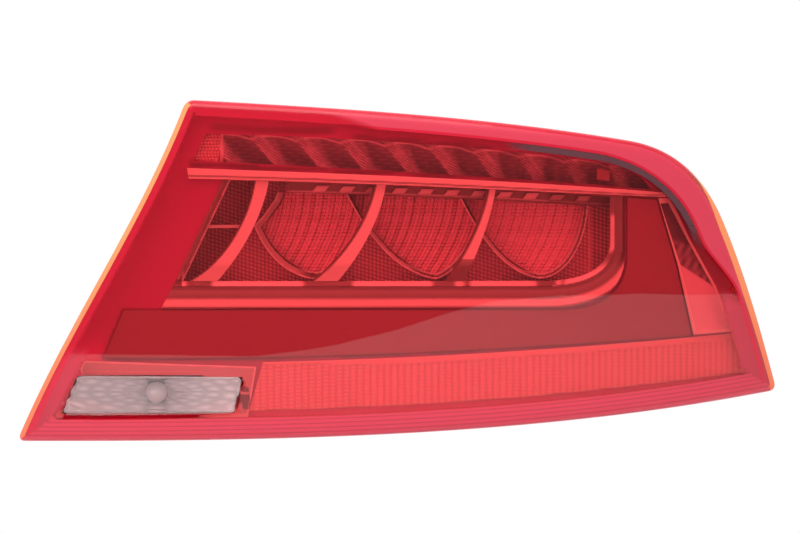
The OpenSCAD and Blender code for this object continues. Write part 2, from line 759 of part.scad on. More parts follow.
module cover_screw(i) {
    screw(cover_screw_at[i], driver_y + cover_ear_h, cover_screw_r, 12, -1);
}

housing();
outer_lens();
reverse_window();
main_bezel();
lower_panel();
trim_bar();
turn_reflector();
turn_end_optic();
turn_end_prism();
turn_board();
tail_frame();
blade(0);  // blade_1
blade(1);  // blade_2
blade(2);  // blade_3
bowl_rim(0);  // bowl_rim_1
bowl_rim(1);  // bowl_rim_2
bowl_rim(2);  // bowl_rim_3
tail_optic(0);  // tail_optic_1
tail_optic(1);  // tail_optic_2
tail_optic(2);  // tail_optic_3
tail_pillow_optic();
tail_ledge();
top_louver();
tail_reflector();
tail_board();
carrier();
side_blade();
side_blade_frame();
reflex_reflector();
reflex_backing();
reverse_frame();
reverse_bowl();
reverse_bulb();
bulb_holder();
bulb_seal();
driver_cover();
driver_board();
terminal(0);  // terminal_1
terminal(1);  // terminal_2
terminal(2);  // terminal_3
terminal(3);  // terminal_4
mounting_stud(0);  // mounting_stud_1
mounting_stud(1);  // mounting_stud_2
mounting_stud(2);  // mounting_stud_3
stud_seal(0);  // stud_seal_1
stud_seal(1);  // stud_seal_2
stud_seal(2);  // stud_seal_3
vent_cap(0);  // vent_cap_1
vent_cap(1);  // vent_cap_2
carrier_screw(0);  // carrier_screw_1
carrier_screw(1);  // carrier_screw_2
carrier_screw(2);  // carrier_screw_3
carrier_screw(3);  // carrier_screw_4
cover_screw(0);  // cover_screw_1
cover_screw(1);  // cover_screw_2
cover_screw(2);  // cover_screw_3
cover_screw(3);  // cover_screw_4
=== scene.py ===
"""Looks of a rear lamp cluster: a red wraparound lens over bright optics, with a clear reversing corner.

Sizes are in millimetres until a mesh is made, and x runs outboard, z up and y to the front of the car.
A point of the view from behind the car is (x, z), and a depth is measured along y behind the lens face.
"""

import functools
import json
import logging
import math
from dataclasses import dataclass, field
from typing import Callable, Sequence

import bpy
import numpy as np
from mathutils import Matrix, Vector
from mathutils.geometry import delaunay_2d_cdt

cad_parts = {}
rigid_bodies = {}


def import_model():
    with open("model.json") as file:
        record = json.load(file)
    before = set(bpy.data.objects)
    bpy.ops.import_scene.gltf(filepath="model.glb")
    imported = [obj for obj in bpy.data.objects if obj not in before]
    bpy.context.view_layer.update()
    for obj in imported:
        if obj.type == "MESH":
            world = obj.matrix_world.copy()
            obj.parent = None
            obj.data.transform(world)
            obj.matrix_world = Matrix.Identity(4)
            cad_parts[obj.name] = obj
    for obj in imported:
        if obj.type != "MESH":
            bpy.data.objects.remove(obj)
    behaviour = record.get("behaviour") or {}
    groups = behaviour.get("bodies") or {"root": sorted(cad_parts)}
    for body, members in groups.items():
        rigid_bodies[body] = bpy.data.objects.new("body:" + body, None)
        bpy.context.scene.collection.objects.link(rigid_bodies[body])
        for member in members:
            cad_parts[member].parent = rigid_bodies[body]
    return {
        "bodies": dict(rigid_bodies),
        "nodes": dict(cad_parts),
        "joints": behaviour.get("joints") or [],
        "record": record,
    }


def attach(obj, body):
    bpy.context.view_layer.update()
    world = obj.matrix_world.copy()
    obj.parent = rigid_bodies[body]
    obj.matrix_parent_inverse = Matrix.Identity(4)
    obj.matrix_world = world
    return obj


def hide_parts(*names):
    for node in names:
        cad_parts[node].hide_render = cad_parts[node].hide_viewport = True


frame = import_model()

logging.basicConfig(level=logging.INFO, format="%(message)s")
LOG = logging.getLogger("lamp")

MM = 0.001
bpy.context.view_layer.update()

Array = np.ndarray
Points = np.ndarray
Depth = Callable[[Array, Array], Array]
Colour = tuple[float, float, float]


# Curves and outlines


def bezier(handles: Sequence[Sequence[float]], t: Array) -> Points:
    """Cubic curve: the handles weighted by (1 - t)^3, 3 (1 - t)^2 t, 3 (1 - t) t^2 and t^3."""
    a, b, c, d = (np.asarray(h, float) for h in handles)
    t = np.asarray(t, float)[:, None]
    return (1 - t) ** 3 * a + 3 * (1 - t) ** 2 * t * b + 3 * (1 - t) * t**2 * c + t**3 * d


def curve(a: Sequence[float], b: Sequence[float], c: Sequence[float], d: Sequence[float],
          count: int = 40) -> Points:
    """Points along one cubic curve, both ends included."""
    return bezier((a, b, c, d), np.linspace(0, 1, count + 1))


def polygon(*runs: Sequence[Sequence[float]]) -> Points:
    """Outline made of runs of points, one after the other."""
    return np.vstack([np.asarray(run, float).reshape(-1, 2) for run in runs])


def divided(outline: Points, longest: float) -> Points:
    """Closed outline whose segments are cut so that none is longer than a given length."""
    following = np.roll(outline, -1, axis=0)
    counts = np.maximum(1, np.ceil(np.linalg.norm(following - outline, axis=1) / longest)).astype(int)
    start = np.repeat(outline, counts, axis=0)
    step = np.repeat(following - outline, counts, axis=0)
    place = np.concatenate([np.arange(n) / n for n in counts])[:, None]
    points = start + step * place
    keep = np.linalg.norm(points - np.roll(points, 1, axis=0), axis=1) > 0.01
    return points[keep]


def inside(points: Points, outline: Points) -> Array:
    """Which points lie in a closed outline: a ray along x crosses its sides an odd number of times."""
    x, z = points[:, :1], points[:, 1:]
    x0, z0 = outline.T
    x1, z1 = np.roll(outline, -1, axis=0).T
    rise = np.where(z1 == z0, 1e-9, z1 - z0)
    crosses = ((z0 > z) != (z1 > z)) & (x < (x1 - x0) * (z - z0) / rise + x0)
    return crosses.sum(axis=1) % 2 == 1


def smooth(low: float, high: float, value: Array) -> Array:
    """Smooth step from 0 at low to 1 at high."""
    t = np.clip((value - low) / (high - low), 0, 1)
    return t * t * (3 - 2 * t)


def distance_to(points: Points, outline: Points, chunk: int = 4000) -> Array:
    """Distance of each point from the nearest side of a closed outline."""
    start, end = outline, np.roll(outline, -1, axis=0)
    side = end - start
    length = np.maximum((side**2).sum(axis=1), 1e-12)
    parts = []
    for first in range(0, len(points), chunk):
        offset = points[first:first + chunk, None] - start[None]
        t = np.clip((offset * side).sum(axis=2) / length, 0, 1)
        parts.append(np.linalg.norm(offset - t[..., None] * side, axis=2).min(axis=1))
    return np.concatenate(parts) if parts else np.zeros(0)


def gap(x: Array, z: Array, outline: Points) -> Array:
    """Distance of each place (x, z) from the nearest side of a closed outline."""
    return distance_to(np.stack([x, z], axis=1), outline)


def on_line(x: Array, line: Points) -> Array:
    """Height at x of a line whose points are in order of x."""
    return np.interp(x, line[:, 0], line[:, 1])


@dataclass(frozen=True)
class LampFace:
    """Curved and leaning face of the lamp, which all the inner layers follow."""

    depth: float = 125.0
    main_r: float = 1500.0
    corner_r: float = 384.0
    tilt: float = math.radians(8.0)
    crown_r: float = 600.0
    apex_x: float = -260.0
    corner_x: float = 70.0

    def plan(self, x: Array) -> Array:
        """Face seen from above: an arc of the main radius, then a tighter arc on the same tangent."""
        x = np.asarray(x, float)
        slope = (self.corner_x - self.apex_x) / self.main_r
        drop = self.main_r * (1 - math.sqrt(1 - slope**2))
        near = self.main_r - np.sqrt(self.main_r**2 - (np.minimum(x, self.corner_x) - self.apex_x) ** 2)
        turn = np.clip((np.maximum(x, self.corner_x) - self.corner_x) / self.corner_r + slope, 0, 0.99)
        far = drop + self.corner_r * (math.sqrt(1 - slope**2) - np.sqrt(1 - turn**2))
        return np.where(x < self.corner_x, near, far) - self.depth

    def arc(self, x: Array) -> Array:
        """Length along the plan of the face from its apex to x."""
        x = np.asarray(x, float)
        slope = (self.corner_x - self.apex_x) / self.main_r
        near = self.main_r * np.arcsin((np.minimum(x, self.corner_x) - self.apex_x) / self.main_r)
        turn = np.clip((np.maximum(x, self.corner_x) - self.corner_x) / self.corner_r + slope, 0, 0.99)
        return near + self.corner_r * (np.arcsin(turn) - math.asin(slope))

    def layer(self, x: Array, z: Array, depth: Array | float) -> Array:
        """Depth in space of a layer: the plan moved back, leaned about x by the tilt."""
        return (self.plan(x) + depth - np.asarray(z) * math.sin(self.tilt)) / math.cos(self.tilt)

    def lens(self, x: Array, z: Array) -> Array:
        """Outer surface of the lens: the leaning layer with a parabola of the crown added."""
        return self.layer(x, z, 0.0) + np.asarray(z) ** 2 / (2 * self.crown_r)


FACE = LampFace()


class Depths:
    """Depths of the layers behind the face, as in the solids."""

    TRIM = 9.0
    WEDGE_FRAME = 10.0
    LIP = 11.0
    RAISED = 12.0
    BEZEL = 14.0
    BEZEL_BACK = 16.5
    REFLEX_BACK = 18.0
    LOUVER = 26.0
    TURN_BACK = 34.0
    OPTIC = 38.0
    REFLECTOR = 41.0


class Outlines:
    """Outlines of the windows and panels as the viewer sees them, as in the solids."""

    turn_window = polygon(
        curve((-116.8, 82.8), (-40, 81.5), (60, 75.5), (128, 64.8)),
        curve((133, 63.5), (141, 61), (148, 57), (151.6, 50.3), 12),
        curve((151.6, 49.8), (60, 57.5), (-30, 62), (-124.9, 66.8)),
    )
    trim_top = curve((-128.1, 62.2), (-30, 58.8), (70, 55), (164.1, 47.4))
    trim_bottom = curve((164.1, 44.8), (70, 48.5), (-30, 54.5), (-127.2, 55.8))
    tail_top = curve((-101.9, 55), (-30, 53.2), (60, 50), (127.5, 45.2))
    tail_window = polygon(
        tail_top,
        curve((127.5, 18), (127.5, 2), (112, -5.5), (90, -5.8), 16),
        [(-27, -6), (-130.6, -6)],
    )
    frame_outline = polygon(
        curve((-106, 56.4), (-30, 54), (60, 50.6), (136.6, 45.4)),
        curve((136.6, 10), (136.6, -10), (122, -22), (98, -22), 20),
        [(-27, -22.6), (-144, -22.8), (-135.5, -7)],
    )
    frame_hole = polygon(
        curve((-103.5, 55.6), (-30, 53.6), (60, 50.3), (130.5, 45.3)),
        curve((130.5, 18), (130.5, 0), (114, -8.8), (90, -9.1), 20),
        [(-27, -9.2), (-133.5, -9.2)],
    )
    wedge = polygon([(157, 44), (164.4, 44.4), (176, 20), (192.4, -9.5), (203.4, -36.6),
                     (178.6, -38.6), (168.8, 4.3)])
    wedge_opening = polygon([(158.2, 41), (163, 41.4), (174.5, 19.4), (190.6, -9.5),
                             (200.6, -34.9), (180.2, -36.6), (170.4, 4.3)])
    panel = polygon(
        [(138.2, 44.6), (155.9, 43.2), (167.6, 4.3), (177.4, -38.9)],
        curve((171.8, -39.6), (60, -47.5), (-40, -53.3), (-178.7, -52.4)),
        [(-166.5, -23.6), (-27, -23.4)],
        curve((99, -23.6), (124, -23.6), (138.2, -11), (138.2, 10), 20),
    )
    reflex = polygon(
        curve((-82.4, -54.9), (10, -53), (100, -47.5), (204.4, -37.6)),
        curve((209.2, -61.5), (120, -73), (40, -81.5), (-90.9, -84.2)),
    )
    reverse = polygon([(-190.3, -54), (-86.3, -57.6), (-91.5, -88.3), (-208.7, -88.8)])
    reverse_opening = polygon([(-194.2, -63.4), (-94.4, -64.2), (-99.6, -85.8), (-204, -86.2)])


# Meshes


def make_object(name: str, vertices: Array, faces: Sequence[Sequence[int]], angle: float = 35.0,
                attributes: dict[str, Array] | None = None) -> bpy.types.Object:
    """Object at the origin from vertices in millimetres.

    Args:
        name: Name of the piece.
        vertices: One row (x, y, z) for each vertex.
        faces: Vertex numbers of each face, seen anticlockwise from outside.
        angle: Edges sharper than this many degrees stay sharp.
        attributes: Named values, one for each vertex.

    Returns:
        The linked object.
    """
    mesh = bpy.data.meshes.new(name)
    mesh.from_pydata((vertices * MM).tolist(), [], [list(map(int, f)) for f in faces])
    mesh.validate()
    for key, values in (attributes or {}).items():
        layer = mesh.attributes.new(key, "FLOAT", "POINT")
        layer.data.foreach_set("value", np.asarray(values, np.float32))
    mesh.polygons.foreach_set("use_smooth", np.ones(len(mesh.polygons), bool))
    mesh.set_sharp_from_angle(angle=math.radians(angle))
    obj = bpy.data.objects.new(name, mesh)
    bpy.context.scene.collection.objects.link(obj)
    return obj


def boundary(triangles: Array) -> Array:
    """Sides that belong to one triangle only, in that triangle's own direction."""
    sides = np.vstack([triangles[:, [0, 1]], triangles[:, [1, 2]], triangles[:, [2, 0]]])
    _, where, counts = np.unique(np.sort(sides, axis=1), axis=0, return_index=True, return_counts=True)
    return sides[where[counts == 1]]


def triangulated(outline: Points, holes: Sequence[Points], spacing: float, lines: Sequence[Points] = (),
                 within: Sequence[Points] = ()) -> tuple[Points, Array]:
    """Even triangles over an outline with holes.

    The points are the divided outlines and the nodes of a square grid that lie inside them. Triangles
    whose circles hold no other point join them along the outlines, and those with centres inside stay.

    Args:
        outline: Outer outline.
        holes: Outlines to leave out.
        spacing: Size of the triangles.
        lines: Closed lines that the triangles also follow.
        within: More outlines that the triangles must lie in.

    Returns:
        The points and the triangles.
    """
    loops = [divided(loop, spacing) for loop in (outline, *holes, *lines, *within)]
    low, high = outline.min(axis=0), outline.max(axis=0)
    xs = np.arange(low[0] + spacing / 2, high[0], spacing)
    zs = np.arange(low[1] + spacing / 2, high[1], spacing)
    grid = np.stack(np.meshgrid(xs, zs), axis=-1).reshape(-1, 2)
    keep = inside(grid, outline)
    for limit in within:
        keep &= inside(grid, limit)
    for hole in holes:
        keep &= ~inside(grid, hole)
    grid = grid[keep]
    for loop in loops:
        grid = grid[distance_to(grid, loop) > spacing * 0.4]
    edges, first = [], 0
    for loop in loops:
        numbers = np.arange(first, first + len(loop))
        edges += list(zip(numbers.tolist(), np.roll(numbers, -1).tolist()))
        first += len(loop)
    points = np.vstack([*loops, grid])
    result = delaunay_2d_cdt([tuple(p) for p in points], edges, [], 0, 1e-5)
    points = np.array([tuple(p) for p in result[0]])
    triangles = np.array([f for f in result[2] if len(f) == 3])
    middle = points[triangles].mean(axis=1)
    keep = inside(middle, outline)
    for limit in within:
        keep &= inside(middle, limit)
    for hole in holes:
        keep &= ~inside(middle, hole)
    triangles = triangles[keep]
    a, b, c = (points[triangles[:, i]] for i in range(3))
    turn = (b[:, 0] - a[:, 0]) * (c[:, 1] - a[:, 1]) - (b[:, 1] - a[:, 1]) * (c[:, 0] - a[:, 0])
    triangles[turn < 0] = triangles[turn < 0][:, ::-1]
    used, triangles = np.unique(triangles, return_inverse=True)
    return points[used], triangles.reshape(-1, 3)


def plate(name: str, outline: Points, front: float | Depth, back: float | Depth,
          holes: Sequence[Points] = (), spacing: float = 4.0, angle: float = 35.0,
          attributes: Callable[[Array, Array], dict[str, Array]] | None = None,
          within: Sequence[Points] = (), beyond: Sequence[Points] = (),
          lines: Sequence[Points] = ()) -> bpy.types.Object:
    """Closed plate between two depths behind the face, within an outline.

    Args:
        name: Name of the piece.
        outline: Outer outline.
        front: Depth of the front, or a function of x and z that gives it.
        back: Depth of the back, or such a function.
        holes: Outlines of the windows in it.
        spacing: Size of its triangles.
        angle: Edges sharper than this many degrees stay sharp.
        attributes: Function of x and z that gives named values for the front.
        within: More outlines that it must lie in.
        beyond: Outlines of its neighbours, which are cut out of it.
        lines: Closed lines that its triangles follow, where its tone or its depth changes.

    Returns:
        The linked object.
    """
    points, triangles = triangulated(outline, [*holes, *beyond], spacing, lines, within)
    x, z = points.T

    def depth_of(value: float | Depth) -> Array:
        """Depth at each point."""
        return value(x, z) if callable(value) else np.full(len(x), float(value))

    sheets = [np.stack([x, FACE.layer(x, z, depth_of(value)), z], axis=1) for value in (front, back)]
    rim = boundary(triangles)
    count = len(points)
    faces = triangles.tolist() + (triangles[:, ::-1] + count).tolist()
    faces += np.stack([rim[:, 1], rim[:, 0], rim[:, 0] + count, rim[:, 1] + count], axis=1).tolist()
    named = {key: np.tile(value, 2) for key, value in attributes(x, z).items()} if attributes else None
    return make_object(name, np.vstack(sheets), faces, angle, named)


def skin(name: str, rings: Array, front: Array, back: Array) -> bpy.types.Object:
    """Closed shell through rings of points (ring, point, xyz) that run clockwise as the viewer sees
    them, from a point at the front to a point at the back."""
    count, around = rings.shape[:2]
    vertices = np.vstack([front[None], rings.reshape(-1, 3), back[None]])
    near = np.arange(around)
    beside = (near + 1) % around
    base = 1 + np.arange(count - 1)[:, None] * around
    quads = np.stack([base + near, base + beside, base + around + beside, base + around + near], axis=-1)
    end = len(vertices) - 1
    last = 1 + (count - 1) * around
    faces = quads.reshape(-1, 4).tolist()
    faces += np.stack([np.zeros(around, int), 1 + beside, 1 + near], axis=1).tolist()
    faces += np.stack([last + near, last + beside, np.full(around, end)], axis=1).tolist()
    return make_object(name, vertices, faces, 40.0)


def bevelled(obj: bpy.types.Object, width: float, segments: int = 2) -> bpy.types.Object:
    """Rounds the sharp edges of a piece by a width in millimetres."""
    bevel = obj.modifiers.new("edge", "BEVEL")
    bevel.width = width * MM
    bevel.segments = segments
    bevel.limit_method = "ANGLE"
    bevel.angle_limit = math.radians(50)
    return obj


# Shader graphs


class Value:
    """Number in a shader graph: arithmetic on it adds Math nodes."""

    def __init__(self, graph: "Graph", socket: bpy.types.NodeSocket) -> None:
        """Wraps an output socket of a graph."""
        self.graph, self.socket = graph, socket

    def _math(self, operation: str, *operands: "Value | float") -> "Value":
        """Output of one Math node on this value or its operands."""
        node = self.graph.tree.nodes.new("ShaderNodeMath")
        node.operation = operation
        for place, operand in zip(node.inputs, operands):
            self.graph.feed(place, operand)
        return Value(self.graph, node.outputs[0])

    @staticmethod
    def _operator(operation: str, swapped: bool = False) -> Callable[["Value", "Value | float"], "Value"]:
        """Operator that adds one Math node, with its operands swapped for a reflected form."""
        return lambda self, other: self._math(operation, *((other, self) if swapped else (self, other)))

    __add__, __radd__ = _operator("ADD"), _operator("ADD", True)
    __sub__, __rsub__ = _operator("SUBTRACT"), _operator("SUBTRACT", True)
    __mul__, __rmul__ = _operator("MULTIPLY"), _operator("MULTIPLY", True)
    __truediv__ = _operator("DIVIDE")

    def wave(self) -> "Value":
        """Sine."""
        return self._math("SINE", self)

    def below(self, limit: "Value | float") -> "Value":
        """The smaller of this and a limit."""
        return self._math("MINIMUM", self, limit)

    def step(self, low: float, high: float) -> "Value":
        """Smooth step from 0 at low to 1 at high."""
        t = (self - low) / (high - low)
        t = t._math("MAXIMUM", t, 0.0).below(1.0)
        return t * t * (3.0 - 2.0 * t)


class Graph:
    """Node tree of a material or of the world, emptied and ready to fill."""

    def __init__(self, owner: bpy.types.Material | bpy.types.World) -> None:
        """Empties the tree of its owner."""
        owner.use_nodes = True
        self.tree = owner.node_tree
        self.tree.nodes.clear()

    def feed(self, place: bpy.types.NodeSocket, value: object) -> None:
        """Links a socket or a value to an input, or sets a constant on it."""
        if isinstance(value, Value):
            value = value.socket
        if isinstance(value, bpy.types.NodeSocket):
            self.tree.links.new(value, place)
        elif isinstance(value, (tuple, list)) and place.type == "RGBA":
            place.default_value = (*value[:3], 1.0)
        else:
            place.default_value = value

    def node(self, kind: str, settings: dict[str, object] | None = None, **inputs: object) -> bpy.types.Node:
        """Adds a node.

        Args:
            kind: Type name without its ShaderNode prefix.
            settings: Properties, set before the inputs.
            **inputs: Input names with underscores for blanks, each with a constant, a socket or a Value.

        Returns:
            The new node.
        """
        node = self.tree.nodes.new("ShaderNode" + kind)
        for key, value in (settings or {}).items():
            setattr(node, key, value)
        for key, value in inputs.items():
            name = key.replace("_", " ")
            place = next(s for s in node.inputs if s.enabled and s.name.replace("-", " ") == name)
            self.feed(place, value)
        return node

    def number(self, kind: str, output: str | int = 0, settings: dict[str, object] | None = None,
               **inputs: object) -> Value:
        """Adds a node and wraps one of its outputs."""
        return Value(self, self.node(kind, settings, **inputs).outputs[output])

    def place(self) -> tuple[Value, Value, Value]:
        """Coordinates of the object, in metres."""
        coordinates = self.node("TexCoord").outputs["Object"]
        split = self.node("SeparateXYZ", Vector=coordinates)
        return tuple(Value(self, out) for out in split.outputs)

    def colours(self, factor: Value | float, low: object, high: object) -> bpy.types.NodeSocket:
        """Mix of two colours or colour sockets."""
        mix = self.tree.nodes.new("ShaderNodeMix")
        mix.data_type = "RGBA"
        self.feed(mix.inputs[0], factor)
        self.feed(mix.inputs[6], low)
        self.feed(mix.inputs[7], high)
        return mix.outputs[2]

    def shaders(self, factor: Value | float, first: bpy.types.Node, second: bpy.types.Node) -> bpy.types.Node:
        """Mix of two shaders."""
        mix = self.tree.nodes.new("ShaderNodeMixShader")
        self.feed(mix.inputs[0], factor)
        self.feed(mix.inputs[1], first.outputs[0])
        self.feed(mix.inputs[2], second.outputs[0])
        return mix

    def noise(self, scale: float, detail: float = 3.0) -> Value:
        """Noise on the coordinates of the object, with a scale in cells for each metre."""
        coordinates = self.node("TexCoord").outputs["Object"]
        return self.number("TexNoise", "Fac", None, Vector=coordinates, Scale=scale, Detail=detail)

    def bump(self, height: Value, distance: float, strength: float = 1.0) -> bpy.types.NodeSocket:
        """Normal bent by a height, with a distance in metres."""
        return self.node("Bump", None, Height=height, Distance=distance, Strength=strength).outputs[0]

    def end(self, shader: bpy.types.Node, kind: str = "OutputMaterial") -> None:
        """Links the shader to the output."""
        self.tree.links.new(shader.outputs[0], self.node(kind).inputs["Surface"])


# Finishes


@dataclass(frozen=True)
class Finish:
    """Base of the finishes: each one makes a material of a name."""

    def material(self, name: str) -> bpy.types.Material:
        """New material with this finish."""
        made = bpy.data.materials.new(name)
        graph = Graph(made)
        graph.end(self.shade(graph))
        return made

    def shade(self, graph: Graph) -> bpy.types.Node:
        """Shader of this finish."""
        raise NotImplementedError


@dataclass(frozen=True)
class Plastic(Finish):
    """Moulded plastic with a faint grain."""

    colour: Colour = (0.5, 0.5, 0.5)
    roughness: float = 0.45
    grain: float = 2500.0
    depth: float = 0.00002
    variation: float = 0.08

    def shade(self, graph: Graph) -> bpy.types.Node:
        """Base colour and roughness vary with a coarse noise, the normal with a fine one."""
        coarse = graph.noise(40.0)
        fine = graph.noise(self.grain, 2.0)
        darker = tuple(c * (1 - self.variation) for c in self.colour)
        return graph.node("BsdfPrincipled", None, Base_Color=graph.colours(coarse, darker, self.colour),
                          Roughness=self.roughness + (coarse - 0.5) * 0.1,
                          Normal=graph.bump(fine, self.depth))


@dataclass(frozen=True)
class Metallised(Finish):
    """Vacuum metallised plastic, whose tone attribute brightens or darkens it; on most pieces the tone paints
    light and shade, and on some it is a pattern as well.
    """

    colour: Colour = (0.9, 0.9, 0.9)
    dark: Colour = (0.3, 0.3, 0.3)
    roughness: float = 0.25
    metallic: float = 0.5
    toned: bool = False

    def shade(self, graph: Graph) -> bpy.types.Node:
        """Colour between the dark one and the bright one by tone, on a partly metallic base."""
        tone = graph.number("Attribute", "Fac", {"attribute_name": "tone"}) if self.toned else 1.0
        cloud = graph.noise(60.0)
        return graph.node("BsdfPrincipled", None, Base_Color=graph.colours(tone, self.dark, self.colour),
                          Roughness=self.roughness + (cloud - 0.5) * 0.08, Metallic=self.metallic)


@dataclass(frozen=True)
class Clear(Finish):
    """Clear moulding, which tints the light at each of its surfaces and lets lamps shine through."""

    tint: Colour = (1.0, 0.4, 0.46)
    roughness: float = 0.0
    ior: float = 1.49
    ripple: float = 0.0

    def shade(self, graph: Graph) -> bpy.types.Node:
        """Refracting body, and a tinted transparent one for shadow rays."""
        inputs = {"Base_Color": tuple(c * c for c in self.tint), "Roughness": self.roughness,
                  "IOR": self.ior, "Transmission_Weight": 1.0}
        if self.ripple:
            _, _, z = graph.place()
            flutes = (z * 1500.0).wave() * 0.5 + graph.noise(120.0)
            inputs["Normal"] = graph.bump(flutes, self.ripple)
        body = graph.node("BsdfPrincipled", None, **inputs)
        see_through = graph.node("BsdfTransparent", None, Color=self.tint)
        shadow = graph.number("LightPath", "Is Shadow Ray")
        return graph.shaders(shadow, body, see_through)


@dataclass(frozen=True)
class RedLens(Clear):
    """Red lens: clear over the face, with bands of painted light, deep red lines and a band of painted shade
    along its border, and a painted orange glow along its cut edges.

    The border is drawn by distance from the rim in millimetres, less than nought down the skirt, with
    one profile for each side.
    """

    # Colours of the painted border: pale painted light, deep red, grey painted shade, and the orange painted
    # glow of the cut edges, redder low down.
    pale: Colour = (0.8, 0.055, 0.1)
    deep: Colour = (0.8, 0.012, 0.045)
    grey: Colour = (0.14, 0.055, 0.07)
    edge: Colour = (1.0, 0.31, 0.12)
    edge_low: Colour = (1.0, 0.2, 0.1)
    edge_w: float = 2.9
    line_w: float = 2.6
    border_w: float = 9.3
    floor_w: float = 12.8
    turn_z: float = -16.0

    def shade(self, graph: Graph) -> bpy.types.Node:
        """The clear body mixed with matt ones by the bands of the border: pale painted light, deep red, grey
        painted shade, and the orange painted glow of the cut edges.
        """
        rim, top, low, outboard, inboard = (
            graph.number("Attribute", "Fac", {"attribute_name": name})
            for name in ("rim", "top", "low", "outboard", "inboard"))
        x, _, z = graph.place()
        x, z = x * 1000.0, z * 1000.0

        def band(start: Value | float, end: Value | float, soft: float = 0.5) -> Value:
            """One between two distances from the rim."""
            return (rim - start).step(-soft / 2, soft / 2) * (1.0 - (rim - end).step(-soft / 2, soft / 2))

        begin = (x + 62.0 - rim * 3.5).step(0.0, 22.0)
        width = self.border_w + (x - 120.0).step(0.0, 45.0) * 6.0 - (20.0 - z).step(0.0, 34.0) * 10.0
        side = 1.0 - (1.0 - outboard) * (1.0 - top)
        above = (z - self.turn_z).step(-6.0, 6.0)
        # Painted light in pale bands: along the top and outboard border, along the bottom broken by stripes,
        # low on the outboard side, and in the lower inboard corner.
        pink = side * begin * band(self.line_w, width, 0.7) * above
        floor = low * band(-1.0, self.floor_w, 0.5)
        stripes = (rim * 2.4).wave().step(0.3, 0.9) * 0.25
        right = outboard * (1.0 - above) * band(0.5, 17.0, 3.0) * 0.55
        red = top * band(0.25, self.line_w, 0.3) + side * begin * band(width, width + 1.6, 0.4)
        # Painted shade: a grey band inside the pale one along the top outboard.
        shade = side * (x - 60.0).step(0.0, 25.0) * band(width + 1.8, width + 5.6, 0.8)
        shade = shade * (z - 10.0).step(0.0, 22.0)
        growing = 3.8 - (z - 22.0).step(0.0, 45.0) * 3.8 - (0.0 - z).step(0.0, 70.0) * 0.8
        # Painted glow of light gathered in the cut edges, in orange.
        orange = inboard * band(-1.0, self.edge_w, 0.25) + outboard * band(-1.0, growing, 0.25)
        matt = {key: graph.node("BsdfPrincipled", None, Base_Color=colour, Roughness=0.4,
                                Specular_IOR_Level=0.3)
                for key, colour in (("pale", self.pale), ("deep", self.deep), ("grey", self.grey))}
        glow = graph.colours((z + 60.0).step(-40.0, 90.0), self.edge_low, self.edge)
        cut = graph.node("BsdfPrincipled", None, Base_Color=glow, Roughness=0.5, Specular_IOR_Level=0.2)
        plain = top * (1.0 - begin) * band(2.2, self.border_w, 0.7) * 0.45
        corner = inboard * (0.0 - z).step(44.0, 56.0) * band(self.edge_w, 15.0, 4.0) * 0.55
        # The pale painted light goes over the clear body, then the deep red, then the grey painted shade,
        # then the orange painted glow.
        painted_pale_light = (pink + floor * (0.85 - stripes) + right + corner).below(0.88)
        mixed = graph.shaders(painted_pale_light, super().shade(graph), matt["pale"])
        left = inboard * band(self.edge_w, 7.0, 2.0) * 0.6
        mixed = graph.shaders((red + plain + left).below(0.75), mixed, matt["deep"])
        mixed = graph.shaders(shade * 0.75, mixed, matt["grey"])
        return graph.shaders(orange.below(1.0), mixed, cut)


@dataclass(frozen=True)
class Board(Finish):
    """Lacquered circuit board with tracks that run along x."""

    colour: Colour = (0.02, 0.12, 0.05)
    track: Colour = (0.05, 0.22, 0.1)

    def shade(self, graph: Graph) -> bpy.types.Node:
        """Bands of the track colour where a wave of z is high."""
        _, _, z = graph.place()
        band = (z * 2600.0).wave().step(0.2, 0.5)
        return graph.node("BsdfPrincipled", None, Base_Color=graph.colours(band, self.colour, self.track),
                          Roughness=0.35)


@dataclass(frozen=True)
class Metal(Finish):
    """Turned or pressed metal."""

    colour: Colour = (0.6, 0.6, 0.62)
    roughness: float = 0.3

    def shade(self, graph: Graph) -> bpy.types.Node:
        """Metal whose roughness varies with a fine noise."""
        cloud = graph.noise(900.0)
        return graph.node("BsdfPrincipled", None, Base_Color=self.colour, Metallic=1.0,
                          Roughness=self.roughness + (cloud - 0.5) * 0.2)


# Fitting the pieces to the frame


@functools.cache
def material_of(finish: Finish, name: str) -> bpy.types.Material:
    """One material for each finish and name."""
    return finish.material(name)


def fit(obj: bpy.types.Object, finish: Finish, slot: str, *nodes: str) -> bpy.types.Object:
    """Gives a piece its finish and slot, sets it on the lamp and lets it stand for solids.

    Args:
        obj: The piece.
        finish: Its finish.
        slot: Material slot of the record.
        *nodes: Names of the solids that it shows in place of.

    Returns:
        The same object.
    """
    obj.data.materials.append(material_of(finish, slot + "." + type(finish).__name__))
    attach(obj, "root")
    for node in nodes:
        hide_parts(node)
    LOG.info("%s: %d faces for %s", obj.name, len(obj.data.polygons), ", ".join(nodes) or "no solid")
    return obj


